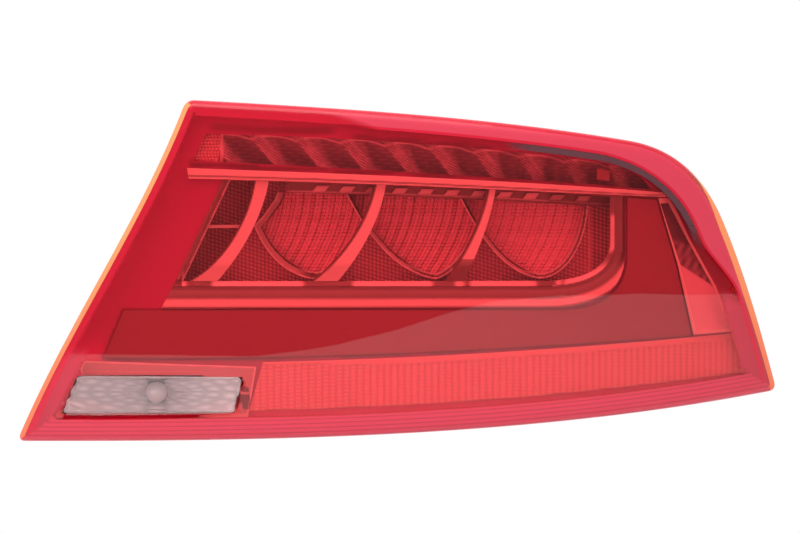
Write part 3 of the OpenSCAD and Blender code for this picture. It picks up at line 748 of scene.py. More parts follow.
class Shine:
    """Finishes of the pieces in front, with those of the lens."""

    lens = RedLens((1.0, 0.52, 0.53))
    window = Clear((0.98, 0.93, 0.93), 0.03, ripple=0.00001)
    # Each toned finish runs from its dark colour to its bright one by the tone, which paints light and shade
    # on most pieces.
    bezel = Metallised((0.82, 0.05, 0.4), (0.1, 0.01, 0.02), roughness=0.5, metallic=0.0, toned=True)
    panel = Metallised((0.37, 0.09, 0.16), (0.05, 0.02, 0.02), roughness=0.4, metallic=0.0)
    trim = Metallised((1.0, 1.0, 1.0), (0.14, 0.03, 0.04), roughness=0.3, metallic=0.1, toned=True)
    frame = Metallised((1.0, 0.92, 0.95), (0.12, 0.02, 0.03), roughness=0.3, metallic=0.15, toned=True)
    optic = Metallised((1.0, 0.56, 0.72), (0.2, 0.01, 0.02), roughness=0.25, metallic=0.05, toned=True)
    mirror = Metallised((1.0, 0.8, 0.95), (0.16, 0.04, 0.08), roughness=0.22, metallic=0.3, toned=True)
    reflex = Metallised((1.0, 0.62, 0.66), (0.42, 0.16, 0.18), roughness=0.2, metallic=0.1, toned=True)
    bowl = Metallised((1.0, 1.0, 1.0), (0.55, 0.54, 0.55), roughness=0.25, metallic=0.05, toned=True)
    bulb = Metallised((0.66, 0.65, 0.66), roughness=0.15, metallic=0.3)
    base = Plastic((0.85, 0.84, 0.82), 0.35)
    filament = Metal((0.8, 0.75, 0.7))


# Lens


@dataclass
class LensShape:
    """Outline of the lens between its silhouette (k = 0) and the edge of its flat face (k = 1)."""

    corners: tuple = ((-128.5, 103.5), (139, 79.2), (196.3, 32), (230.4, -72.5), (-231, -102.8))
    handles: tuple = (((-38.8, 98.7), (52, 93.6)), ((165, 75), (184, 60)), ((211, -2), (221, -38)),
                      ((80, -101), (-78, -103.3)), ((-199.5, -29), (-157, 28.6)))
    shifts: tuple = ((1.4, -5.4), (-1.4, -6.3), (-8.5, -1.8), (-9.5, 3.6), (6.8, 5.4))
    sharp: tuple = (True, False, False, True, True)
    fillets: tuple = (0.02, 0.06, 0.05, 0.011, 0.024)
    counts: tuple = (72, 24, 30, 90, 54)

    def side(self, i: int, k: float) -> list[Array]:
        """Handles of one side, each carried in by its share of the corner shifts."""
        i, j = i % 5, (i + 1) % 5
        a, b = np.array(self.shifts[i]) * k, np.array(self.shifts[j]) * k
        return [self.corners[i] + a, self.handles[i][0] + a + (b - a) / 3,
                self.handles[i][1] + a + (b - a) * 2 / 3, self.corners[j] + b]

    def loop(self, k: float) -> Points:
        """Closed outline, with each sharp corner rounded by a parabola between its sides."""
        runs = []
        for i in range(5):
            side = self.side(i, k)
            low = self.fillets[i] if self.sharp[i] else 0.0
            ends_sharp = self.sharp[(i + 1) % 5]
            high = 1 - self.fillets[i] if ends_sharp else 1 - 1 / self.counts[i]
            if self.sharp[i]:
                a = bezier(self.side(i - 1, k), [1 - self.fillets[i - 1]])
                b = bezier(side, [low])
                t = np.linspace(0, 1, 9)[1:-1, None]
                runs.append((1 - t) ** 2 * a + 2 * t * (1 - t) * side[0] + t**2 * b)
            runs.append(bezier(side, np.linspace(low, high, self.counts[i])))
        return np.vstack(runs)

    def inset(self, distance: float) -> Points:
        """Silhouette moved towards the edge of the face by a distance."""
        rim, face = self.loop(0.0), self.loop(1.0)
        step = face - rim
        return rim + step * distance / np.linalg.norm(step, axis=1, keepdims=True)


@dataclass
class OuterLens:
    """Red lens and the clear window let into its lower inboard corner."""

    shape: LensShape = field(default_factory=LensShape)
    wall: float = 3.0
    shoulder: float = 5.0
    skirt: float = 19.0
    spacing: float = 3.5
    shoulder_angles: tuple = (0, 15, 30, 45, 58, 70, 79, 85)
    border_loops: tuple = (9.0, 12.5, 16.0)

    def surface(self, points: Points) -> tuple[Array, Array, Points]:
        """Height field of the outside.

        The share k of the way from the rim to the face comes from both distances, and the shoulder
        drops by its depth times 1 - cos a, where sin a = 1 - k.

        Returns:
            The depth in space, k, and the direction outwards at each point.
        """
        rim, face = self.shape.loop(0.0), self.shape.loop(1.0)
        to_rim = distance_to(points, rim)
        to_face = np.where(inside(points, face), 0.0, distance_to(points, face))
        k = to_rim / np.maximum(to_rim + to_face, 1e-9)
        drop = self.shoulder * (1 - np.sqrt(np.clip(1 - (1 - k) ** 2, 0, 1)))
        along = np.roll(rim, -1, axis=0) - np.roll(rim, 1, axis=0)
        along /= np.linalg.norm(along, axis=1, keepdims=True)
        nearest = np.linalg.norm(points[:, None] - rim[None], axis=2).argmin(axis=1)
        outward = np.stack([-along[nearest, 1], along[nearest, 0]], axis=1)
        return FACE.lens(*points.T) + drop, k, outward

    def shell(self, name: str, keep_window: bool) -> bpy.types.Object:
        """Sheet of the lens, or of its window, with the skirt round it and its wall grown inwards."""
        loops = [self.shape.loop(1 - math.sin(math.radians(a))) for a in self.shoulder_angles]
        loops += [self.shape.inset(d) for d in self.border_loops]
        window = Outlines.reverse_opening
        rim = self.shape.loop(0.0)
        xz, triangles = triangulated(rim, [], self.spacing, [*loops, window])
        middle = xz[triangles].mean(axis=1)
        triangles = triangles[inside(middle, window) == keep_window]
        used, triangles = np.unique(triangles, return_inverse=True)
        xz, triangles = xz[used], triangles.reshape(-1, 3)
        y, k, outward = self.surface(xz)
        edges = boundary(triangles)
        edges = edges[(k[edges] < 1e-3).all(axis=1)]
        vertices = np.stack([xz[:, 0], y, xz[:, 1]], axis=1)
        ring, numbers = np.unique(edges, return_inverse=True)
        numbers = numbers.reshape(-1, 2) + len(vertices)
        lower = vertices[ring] + [0, self.skirt, 0]
        faces = triangles.tolist()
        faces += np.stack([edges[:, 1], edges[:, 0], numbers[:, 0], numbers[:, 1]], axis=1).tolist()
        attributes = {
            "rim": distance_to(xz, rim),
            "top": smooth(0.6, 0.85, outward[:, 1]),
            "low": smooth(0.6, 0.85, -outward[:, 1]),
            "outboard": smooth(0.35, 0.6, outward[:, 0]),
            "inboard": smooth(0.35, 0.6, -outward[:, 0]),
        }
        attributes = {key: np.concatenate([v, v[ring]]) for key, v in attributes.items()}
        attributes["rim"][len(xz):] -= self.skirt
        obj = make_object(name, np.vstack([vertices, lower]), faces, 50.0, attributes)
        solid = obj.modifiers.new("wall", "SOLIDIFY")
        solid.thickness = self.wall * MM
        solid.offset = -1
        return obj

    def build(self) -> None:
        """Makes the lens and its window."""
        fit(self.shell("outer_lens_skin", False), Shine.lens, "lens_red", "outer_lens")
        fit(self.shell("reverse_window_skin", True), Shine.window, "lens_clear", "reverse_window")


# Panels in front


def tone_of(bright: Depth) -> Callable[[Array, Array], dict[str, Array]]:
    """Attribute function that keeps a brightness of x and z, held between 0 and 1, as the tone."""
    return lambda x, z: {"tone": np.clip(bright(x, z) + 0.0 * x, 0, 1)}


def between(low: float, high: float, value: Array, soft: float = 0.3) -> Array:
    """One between two values, with soft ends."""
    return smooth(low - soft, low + soft, value) * (1 - smooth(high - soft, high + soft, value))


@dataclass
class Panels:
    """Main bezel, lower panel, trim bar and the flank at the outboard end."""

    shape: LensShape = field(default_factory=LensShape)
    spacing: float = 2.2
    bezel_inset: float = 4.5
    # Painted shade on the bezel: the ends and top of the slot, and for each shadow line its ends, heights and
    # fall.
    slot_ends: tuple = (-126, 156)
    slot_top: tuple = ((-125, 66.6), (-30, 62), (60, 57.5), (151, 49.9))
    shadows: tuple = (((-114, -40), (84.2, 88.6), 0.03), ((-28, 56), (77, 82.5), 0.075))
    fold: tuple = (168, 5.5, 0.651)
    fall_back: float = 1.8
    step_down: float = 1.2

    def build(self) -> None:
        """Makes the panels."""
        holes = [Outlines.turn_window, Outlines.frame_hole, Outlines.wedge_opening, Outlines.reflex,
                 Outlines.reverse_opening]
        bezel = plate("bezel", self.shape.inset(self.bezel_inset), Depths.BEZEL, Depths.BEZEL_BACK, holes,
                      self.spacing, 35, tone_of(self.bezel_tone), lines=[Outlines.panel])
        fit(bezel, Shine.bezel, "bezel_satin", "main_bezel")
        panel = plate("panel", Outlines.panel, Depths.RAISED, Depths.BEZEL, (), self.spacing)
        fit(bevelled(panel, 0.6), Shine.panel, "panel_gloss", "lower_panel")
        bar = polygon(Outlines.trim_top, Outlines.trim_bottom)
        strip = plate("bar", bar, self.bar_depth, Depths.LIP, (), 0.8, 35, tone_of(self.bar_tone))
        fit(strip, Shine.trim, "bright_trim", "trim_bar")
        self.flank()

    def bezel_tone(self, x: Array, z: Array) -> Array:
        """Painted shade in the slot above the trim bar, painted shadow lines over the turn strip and dark
        round the lower panel; painted light in the lower corners, at the outboard end and under the reflex
        strip."""
        slot = between(*self.slot_ends, x, 1.0) * smooth(0.1, 0.9, z - self.bar_line(x, Outlines.trim_top))
        slot = slot * (1 - smooth(-0.5, 0.5, z - on_line(x, np.array(self.slot_top))))
        shadow = sum(between(*ends, x, 3.0) * between(*heights, z + fall * (x - ends[0]), 0.6)
                     for ends, heights, fall in self.shadows)
        # Painted light in the lower corners, at the outboard end and under the reflex strip.
        corner = 0.35 * smooth(-30, -56, z) * smooth(-170, -186, x) + 0.3 * smooth(196, 206, x)
        corner = np.maximum(corner, 0.4 * smooth(0.6, -0.2, z - on_line(x, Outlines.reflex[41:][::-1])))
        ring = 1 - smooth(0.4, 1.6, gap(x, z, Outlines.panel))
        return 0.6 + corner - 0.45 * slot - 0.3 * shadow - 0.5 * ring

    def bar_line(self, x: Array, line: Points) -> Array:
        """Height of one edge of the trim bar at x."""
        return on_line(x, line[np.argsort(line[:, 0])])

    def bar_across(self, x: Array, z: Array) -> Array:
        """Place across the trim bar, from 0 at its lower edge to 1 at its top."""
        top, low = self.bar_line(x, Outlines.trim_top), self.bar_line(x, Outlines.trim_bottom)
        return np.clip((z - low) / np.maximum(top - low, 0.5), 0, 1)

    def bar_depth(self, x: Array, z: Array) -> Array:
        """Front of the trim bar: a flat face over a step down to a thin lower lip."""
        return Depths.TRIM + self.step_down * (1 - smooth(0.22, 0.34, self.bar_across(x, z)))

    def bar_tone(self, x: Array, z: Array) -> Array:
        """Bright face and lower lip, with a darker strip of painted shade on the step between them."""
        return 1 - 0.6 * between(0.2, 0.34, self.bar_across(x, z), 0.05)

    def flank(self) -> None:
        """Side blade, whose face turns away above a slanted line, and its bright frame."""

        def below_fold(x: Array, z: Array) -> Array:
            """Distance under the slanted line where the bright face starts."""
            start, height, slope = self.fold
            return height - z - (x - start) * slope

        def face(x: Array, z: Array) -> Array:
            """Depth of the blade's face: it falls back above the fold."""
            return Depths.RAISED + self.fall_back * smooth(1.0, -14.0, below_fold(x, z))

        def bright(x: Array, z: Array) -> Array:
            """Painted light below the fold, painted reflection streaks above it and painted shade in the
            upper end.
            """
            streaks = 0.5 + 0.5 * np.sin((x - 0.45 * z) * 1.1) * np.sin(z * 0.35)
            upper = 0.02 + 0.4 * streaks * (1 - smooth(-1, 1.5, z - 19 + (x - 166.5) * 0.387))
            return upper + (0.95 - upper) * smooth(-0.6, 0.6, below_fold(x, z))

        blade = plate("flank", Outlines.wedge_opening, face, Depths.BEZEL_BACK, (), 0.9, 35, tone_of(bright))
        fit(blade, Shine.mirror, "bright_trim", "side_blade")
        frame = plate("flank_frame", Outlines.wedge, Depths.WEDGE_FRAME, Depths.BEZEL,
                      [Outlines.wedge_opening], 1.5, 35, tone_of(lambda x, z: 1.0))
        fit(bevelled(frame, 0.4), Shine.trim, "bright_trim", "side_blade_frame")


# Turn signal strip


@dataclass
class TurnStrip:
    """Scalloped reflector, red end optic, end prism."""

    pitch: float = 26.8
    first: float = 8.5
    scoop: float = 11.0
    lean: tuple = (0.88, 0.004, 20)
    half_h: float = 8.0
    line: tuple = (70, 0.0735, 0.00022)
    end: tuple = ((-124, 90), (-107, 90), (-110, 60), (-132, 60))
    prism: tuple = ((119.6, 62.4), (127.4, 61), (127.4, 54.6), (119.6, 55.6))
    pillow_h: float = 0.9

    def cell(self, x: Array, z: Array) -> Array:
        """Position across a scallop, 0 to 1 from its left edge, which leans less further outboard."""
        lean, fall, start = self.lean
        lean = lean - fall * np.maximum(x - start, 0)
        return ((x + (z - self.middle(x)) * lean - self.first + self.pitch / 2) / self.pitch) % 1.0

    def middle(self, x: Array) -> Array:
        """Height of the strip's middle line."""
        height, fall, bend = self.line
        return height - fall * (x - self.first) - bend * (x - self.first) ** 2

    def depth(self, x: Array, z: Array) -> Array:
        """Scoops: one minus the square of the place across each, more at the top than at the bottom."""
        across = 2 * self.cell(x, z) - 1
        up = np.clip((z - self.middle(x)) / self.half_h, -1, 1)
        scoop = self.scoop * smooth(-110, -98, x)
        return Depths.BEZEL_BACK + 1 + scoop * (1 - across**2) * (0.75 - 0.25 * up)

    def bright(self, x: Array, z: Array) -> Array:
        """Painted reflections: streaks right of each edge between scallops and an arc at the top, both
        fainter further outboard, with thin lines along.
        """
        place = self.cell(x, z)
        up = (z - self.middle(x)) / self.half_h
        fade = 1 - 0.45 * smooth(30, 130, x)
        streaks = smooth(-0.2, 0.8, np.sin((x * 0.6 + z * 0.8) * 4.6 + 1.5 * np.sin(x * 0.7)))
        zone = smooth(0.0, 0.05, place) * (1 - smooth(0.24, 0.4, place))
        lines = smooth(0.7, 1.0, np.sin((z + 0.0735 * x) * 2.94))
        arc = between(0.82, 0.98, up + 0.35 * (2 * place - 1) ** 2, 0.05)
        left = 0.5 * between(-108, -106.4, x, 0.2)
        return 0.26 + 0.2 * lines + (0.95 * streaks + 0.1) * zone * fade + 0.8 * arc * fade + left

    def build(self) -> None:
        """Makes the strip."""
        end = polygon(self.end)
        strip = plate("turn_scallops", Outlines.turn_window, self.depth, Depths.TURN_BACK, (), 0.6, 40,
                      tone_of(self.bright), beyond=[end])
        fit(strip, Shine.mirror, "reflector_silver", "turn_reflector")

        def pillow(x: Array, z: Array) -> Array:
            """Grid of pillows, 0 to 1."""
            return np.abs(np.sin(x * 1.6 + 0.8 * np.sin(z)) * np.sin(z * 1.6))

        # The pillows' tone paints highlights on their crowns.
        optic = plate("turn_pillows", Outlines.turn_window,
                      lambda x, z: Depths.BEZEL_BACK + self.pillow_h * (1 - pillow(x, z)),
                      Depths.TURN_BACK, (), 0.5, 60, tone_of(lambda x, z: 0.35 + 0.65 * pillow(x, z)),
                      within=[end])
        fit(optic, Shine.optic, "optic_clear", "turn_end_optic")
        prism = plate("turn_prism", polygon(self.prism), Depths.BEZEL, Depths.BEZEL_BACK, (), 1.0, 35,
                      tone_of(lambda x, z: 0.3))
        fit(bevelled(prism, 0.5), Shine.optic, "optic_clear", "turn_end_prism")


# Tail light chamber


def ramp(x: Array, line: Points) -> Array:
    """Place along x of a line at each height given in x: its points are in order of height."""
    order = np.argsort(line[:, 1])
    return np.interp(x, line[order, 1], line[order, 0])


@dataclass
class TailChamber:
    """Frame with its lip, three blades, three bowls, and the optics in and round them."""

    blade_left: tuple = (((-87.8, 56), (-90.2, 34), (-105.2, 4), (-130, -7.5)),
                         ((-15.4, 54), (-19, 33), (-32, 10), (-55, -7.5)),
                         ((52.9, 51.5), (50.5, 34), (41, 12), (26, -7.5)))
    blade_right: tuple = (((-78.7, 56), (-81, 38), (-93, 12), (-111.5, -7.5)),
                          ((-7.9, 54), (-10, 37), (-20, 13), (-38.5, -7.5)),
                          ((58.6, 51.5), (56, 33), (48, 12), (38.5, -7.5)))
    bowl_left: tuple = (((-88, 27.5), (-83, 14), (-71, -3.5), (-50, -5.2)),
                        ((-34.5, 51), (-22, 27), (-7, 0), (22, -5)),
                        ((34, 49), (47, 25), (60, -1), (85, -4.6)))
    bowl_right: tuple = (((-37, -4), (-26, 13), (-15, 30)), ((33, -3), (44, 13), (51.5, 27)),
                         ((101, -4.4), (114.5, 16), (114.7, 44)))
    bowl_apex: tuple = (((-72, 52.4), (-75.3, 43.5), (-83, 32.8)), (), ())
    bowl_corner: tuple = (((-27, 52),), ((41, 50),), ())
    bowl_middle: tuple = ((-52, 26), (14, 26), (84, 24))
    flank_w: tuple = (1.2, 2.0, 2.0)
    blade_end: tuple = (-20.0, -20.0, 7.0)
    rim_w: tuple = (4.8, 3.6, 3.4)
    column: float = 2.4
    row: float = 2.1
    louver_first: float = -57.6
    louver_pitch: float = 15.9
    louver_h: float = 6.5
    land: tuple = ((7.5, -0.6), (15.9, -0.6), (12.9, -4.4), (4.5, -4.4))
    land_rise: float = 1.5
    louver_line: tuple = (52, 0.026, 0.00009, 40)
    window_line: tuple = (53.2, 0.026, 0.00012, 30)
    wall_front: float = 14.6
    wall_back: float = 44.0
    lip_depth: tuple = ((0, 14.4), (3.0, 12.0), (3.4, 13.0), (10.4, 13.6), (11.4, 11.6), (15.4, 11.0),
                        (16.4, 13.4))
    # Painted light and shade across the lip by distance: bright on the chamfer and the outer band, painted
    # shade in the groove; dark_spots are painted shade along the window's lower edge.
    lip_tone: tuple = ((0, 0.75), (2.9, 1), (3.4, 0.2), (5, 0.2), (6, 0.36), (10.2, 0.26), (11.4, 0.8),
                       (12, 1), (16, 1), (16.4, 0.6), (16.8, 0.1))
    dark_spots: tuple = ((-129, -113), (-58, -28), (20, 34), (39, 43), (83, 95), (98, 100))
    flank_drop: float = 2.4
    arm_top: tuple = (60, 30, 30)
    rim_drop: float = 4.5
    bend: float = 13.0
    bend_from: float = 51.0
    bend_over: float = 44.0
    optic_h: float = 0.9
    optic_ground: tuple = (0.8, 0.74, 1.0)
    dot: float = 1.35
    dot_h: float = 0.5
    ledge_z: tuple = (26.0, 28.0)
    ledge_x: tuple = (-120.0, -92.0)

    def bowl(self, i: int) -> Points:
        """Outline of a bowl: the left arm down to the lowest point, then the right arm up."""
        left, right = self.bowl_left[i], self.bowl_right[i]
        arms = curve(*left, 36), curve(left[3], *right, 36)[1:]
        return polygon(self.bowl_apex[i], *arms, self.bowl_corner[i])

    def bowl_inner(self, i: int) -> Points:
        """Outline of a bowl inside its rim."""
        outline = self.bowl(i)
        step = np.array(self.bowl_middle[i]) - outline
        return outline + step * self.rim_w[i] / np.linalg.norm(step, axis=1, keepdims=True)

    def next_bowl(self, i: int) -> list[Points]:
        """Outline of the bowl that cuts into this one, if there is one."""
        return [self.bowl(i + 1)] if i < 2 else []

    def louver_outline(self) -> Points:
        """Strip under the top of the window."""
        return polygon(Outlines.tail_top, Outlines.tail_top[::-1] - [0, self.louver_h])

    def build(self) -> None:
        """Makes the chamber."""
        self.frame()
        for i in range(3):
            self.blade(i)
            self.rim(i)
            self.optic(i)
        self.pillow()
        self.ledge()
        self.louver()

    def frame(self) -> None:
        """Lip of the frame, with a bright chamfer, a groove of painted shade and a bright outer band, and the
        chamber's wall.
        """
        window = Outlines.tail_window

        def away(x: Array, z: Array) -> Array:
            """Distance from the window, and straight down from it past its lower inboard corner."""
            d = gap(x, z, window)
            return np.where((x < -120) & (z < -6), -6 - z, d)

        def depth(x: Array, z: Array) -> Array:
            """Profile over the distance from the window."""
            return on_line(away(x, z), np.array(self.lip_depth))

        def bright(x: Array, z: Array) -> Array:
            """Painted light and shade in bands over the distance from the window: one set below it, with dark
            spots of painted shade along its edge, plainer ones at its ends, with a painted highlight on the
            outboard end.
            """
            d = away(x, z)
            low = on_line(d, np.array(self.lip_tone))
            spots = sum(between(start, end, x, 2.0) for start, end in self.dark_spots)
            low = low * (1 - 0.85 * np.clip(spots + (x < -131), 0, 1) * (d < 3.1))
            right = 0.2 + 0.75 * between(0.5, 3.0, d) * between(12, 34, z, 2.0) - 0.2 * (d > 8.0)
            left = 0.2 + 0.7 * (d < 0.8)
            end = np.where(x > 0, right, left)
            under = smooth(2.0, -7.0, z - 0.18 * np.maximum(x - 90, 0))
            return end + (low - end) * under

        lip = plate("frame_lip", Outlines.frame_outline, depth, self.wall_front, [window], 0.8, 35,
                    tone_of(bright))
        fit(lip, Shine.frame, "bright_trim", "tail_frame")
        wall = plate("frame_wall", Outlines.frame_hole, self.wall_front, self.wall_back, [window], 3.0, 35,
                     tone_of(lambda x, z: 0.5))
        fit(wall, Shine.mirror, "bright_trim")

    def blade(self, i: int) -> None:
        """Ribbon with a bright face and a flank that falls back along its left edge, dark with painted shade.
        """
        left, right = curve(*self.blade_left[i], 40), curve(*self.blade_right[i], 40)

        def off(x: Array, z: Array) -> Array:
            """Distance along x from the line where the flank meets the face."""
            return x - ramp(z, left) - self.flank_w[i]

        def bright(x: Array, z: Array) -> Array:
            """Painted shade on the flank and on the duller foot, and a bright face."""
            face = 1 - 0.7 * (z < self.blade_end[i]) - 0.2 * smooth(6.0, 2.0, z)
            return 0.08 + (face - 0.08) * smooth(-0.3, 0.3, off(x, z))

        ribbon = plate(f"blade_{i + 1}_ribbon", polygon(right, left[::-1]),
                       lambda x, z: Depths.BEZEL + self.flank_drop * smooth(0.2, -1.4, off(x, z)),
                       Depths.LOUVER, (), 0.7, 35, tone_of(bright), within=[Outlines.tail_window])
        fit(ribbon, Shine.trim, "bright_trim", f"blade_{i + 1}")

    def rim(self, i: int) -> None:
        """Arms of a bowl: a ridge outside, a slope and a thin edge inside, with painted highlights and
        painted shade.
        """
        outline, inner, width = self.bowl(i), self.bowl_inner(i), self.rim_w[i]
        middle = self.bowl_middle[i][0]

        def depth(x: Array, z: Array) -> Array:
            """Ridge at the outside of the arm."""
            slope = np.array([(0, 0.6), (0.4, 0.0), (1.0, 0.2), (width, self.rim_drop)])
            return Depths.LOUVER + on_line(gap(x, z, outline), slope)

        def bright(x: Array, z: Array) -> Array:
            """Painted light and shade by the distance from the outside: a highlight on the ridge, shade on
            the slope and a bright inner edge, with slope and edge the other way round on the left arm.
            """
            d = gap(x, z, outline)
            arm = between(-6, self.arm_top[i], z, 2.0) * smooth(middle, middle - 12, x)
            slope = 0.08 + 0.5 * arm
            return np.where(d < 0.9, 1.0, np.where(d < width - 1.1, slope, 0.8 - 0.78 * arm))

        arms = plate(f"bowl_rim_{i + 1}_arms", outline, depth, Depths.OPTIC, [inner], 0.6, 35,
                     tone_of(bright), within=[Outlines.tail_window],
                     beyond=[*self.next_bowl(i), self.louver_outline()])
        fit(arms, Shine.frame, "bright_trim", f"bowl_rim_{i + 1}")

    def optic(self, i: int) -> None:
        """Optic in a bowl: pillows in columns that bend inboard towards the bottom."""

        def cells(x: Array, z: Array) -> tuple[Array, Array]:
            """Column and row of each point, as running numbers: the bend is a square of the drop."""
            drop = (self.bend_from - z) / self.bend_over
            return (x + self.bend * drop**2) / self.column, z / self.row

        def depth(x: Array, z: Array) -> Array:
            """Pillows: the product of two arcs over each cell."""
            u, v = cells(x, z)
            arc = (1 - (2 * (u % 1) - 1) ** 2) * (1 - (2 * (v % 1) - 1) ** 2)
            return Depths.OPTIC + self.optic_h - self.optic_h * arc

        def bright(x: Array, z: Array) -> Array:
            """Brighter and darker columns of painted highlights with dark joints, dotted row by row, and
            darker towards the bottom.
            """
            u, v = cells(x, z)
            stripes = 0.5 + 0.5 * np.sin(2 * np.pi * u / 2.6 + i) * (0.75 + 0.25 * np.sin(u * 0.5))
            joint = smooth(0.34, 0.46, np.abs((u % 1) - 0.5))
            dots = smooth(0.3, 0.48, np.abs((v % 1) - 0.5))
            ground = self.optic_ground[i] - 0.15 * smooth(14, -5, z)
            return ground + 0.7 * stripes - 0.75 * joint - 0.45 * dots

        sheet = plate(f"tail_optic_{i + 1}_pillows", self.bowl(i), depth, Depths.REFLECTOR, (), 0.5, 60,
                      tone_of(bright), within=[Outlines.tail_window], beyond=self.next_bowl(i))
        fit(sheet, Shine.optic, "optic_clear", f"tail_optic_{i + 1}")

    def pillow(self) -> None:
        """Small pillows between the bowls, darker left of the first blade and at the outboard end."""

        def dot(x: Array, z: Array) -> Array:
            """Dots on a slanted grid, 0 to 1."""
            return np.abs(np.sin(x * self.dot) * np.sin((z + 0.3 * x) * self.dot))

        def bright(x: Array, z: Array) -> Array:
            """Painted highlights as bright dots on the pillows, on a ground that changes along the chamber.
            """
            edge = ramp(z, curve(*self.blade_left[0], 40))
            ground = np.where(x < edge, 0.08, 0.28) * (1 - 0.4 * smooth(112, 118, x))
            lines = 0.35 * between(114.5, 116.8, x, 0.2)
            return ground + np.where(x < edge, 0.6, 0.8) * dot(x, z) ** 1.5 + lines

        sheet = plate("tail_pillows", Outlines.tail_window,
                      lambda x, z: Depths.OPTIC + self.dot_h * (1 - dot(x, z)),
                      Depths.REFLECTOR, (), 0.65, 60, tone_of(bright),
                      beyond=[self.bowl(i) for i in range(3)])
        fit(sheet, Shine.optic, "optic_clear", "tail_pillow_optic")

    def ledge(self) -> None:
        """Small shelf at the inboard end."""
        (left, right), (low, high) = self.ledge_x, self.ledge_z
        outline = polygon([(left, high), (right, high), (right, low), (left, low)])
        shelf = plate("ledge", outline, Depths.LOUVER, Depths.OPTIC, (), 1.0, 35,
                      tone_of(lambda x, z: 1.0), within=[Outlines.tail_window])
        fit(bevelled(shelf, 0.3), Shine.trim, "bright_trim", "tail_ledge")

    def height(self, x: Array | float, line: tuple) -> Array | float:
        """Height at x of a line that starts at one, falls at a rate and bends by a square."""
        start, fall, bend, shift = line
        return start - fall * (x + shift) - bend * (x + shift) ** 2

    def louver(self) -> None:
        """Row of slanted lands along the top, painted bright with painted shade in the pockets between them,
        and a painted highlight along a line under them.
        """
        lands = []
        for n in range(11):
            x = self.louver_first + n * self.louver_pitch
            z = self.height(x, self.louver_line)
            lands.append(np.array(self.land) + [x, z])

        def land(x: Array, z: Array) -> Array:
            """One on the lands and nought in the pockets between them."""
            points = np.stack([x, z], axis=1)
            return sum(inside(points, p) * smooth(-0.1, 0.3, distance_to(points, p)) for p in lands)

        def bright(x: Array, z: Array) -> Array:
            """Painted light on the lands and the lower edge and painted shade in the pockets, duller past the
            last blade.
            """
            line = 0.5 * between(5.3, 6.1, self.height(x, self.window_line) - z, 0.25)
            return (0.2 + 0.75 * land(x, z) + line) * (1 - 0.5 * smooth(88, 92, x))

        strip = plate("louver_strip", self.louver_outline(),
                      lambda x, z: Depths.LOUVER + self.land_rise * (1 - land(x, z)),
                      Depths.OPTIC, (), 0.55, 35, tone_of(bright),
                      beyond=[polygon([(-110, 60), (-68, 60), (-68, 40), (-110, 40)])])
        fit(strip, Shine.frame, "bright_trim", "top_louver")


# Lower row


def revolved(name: str, place: Sequence[float], profile: Sequence[Sequence[float]], start: float,
             around: int = 40) -> bpy.types.Object:
    """Turned piece about an axis along y.

    Args:
        name: Name of the piece.
        place: Where the axis stands, as x and z.
        profile: Radius and depth of each ring, from the front; a radius of nought closes an end.
        start: Depth in space that the profile's depths are added to.
        around: Points round each ring.

    Returns:
        The linked object.
    """
    angle = np.linspace(0, 2 * np.pi, around, endpoint=False)
    radius, depth = np.asarray(profile, float).T
    rings = np.stack([place[0] + radius[:, None] * np.cos(angle),
                      np.repeat(start + depth[:, None], around, 1),
                      place[1] - radius[:, None] * np.sin(angle)], axis=-1)
    return skin(name, rings[1:-1], rings[0, 0], rings[-1, 0])


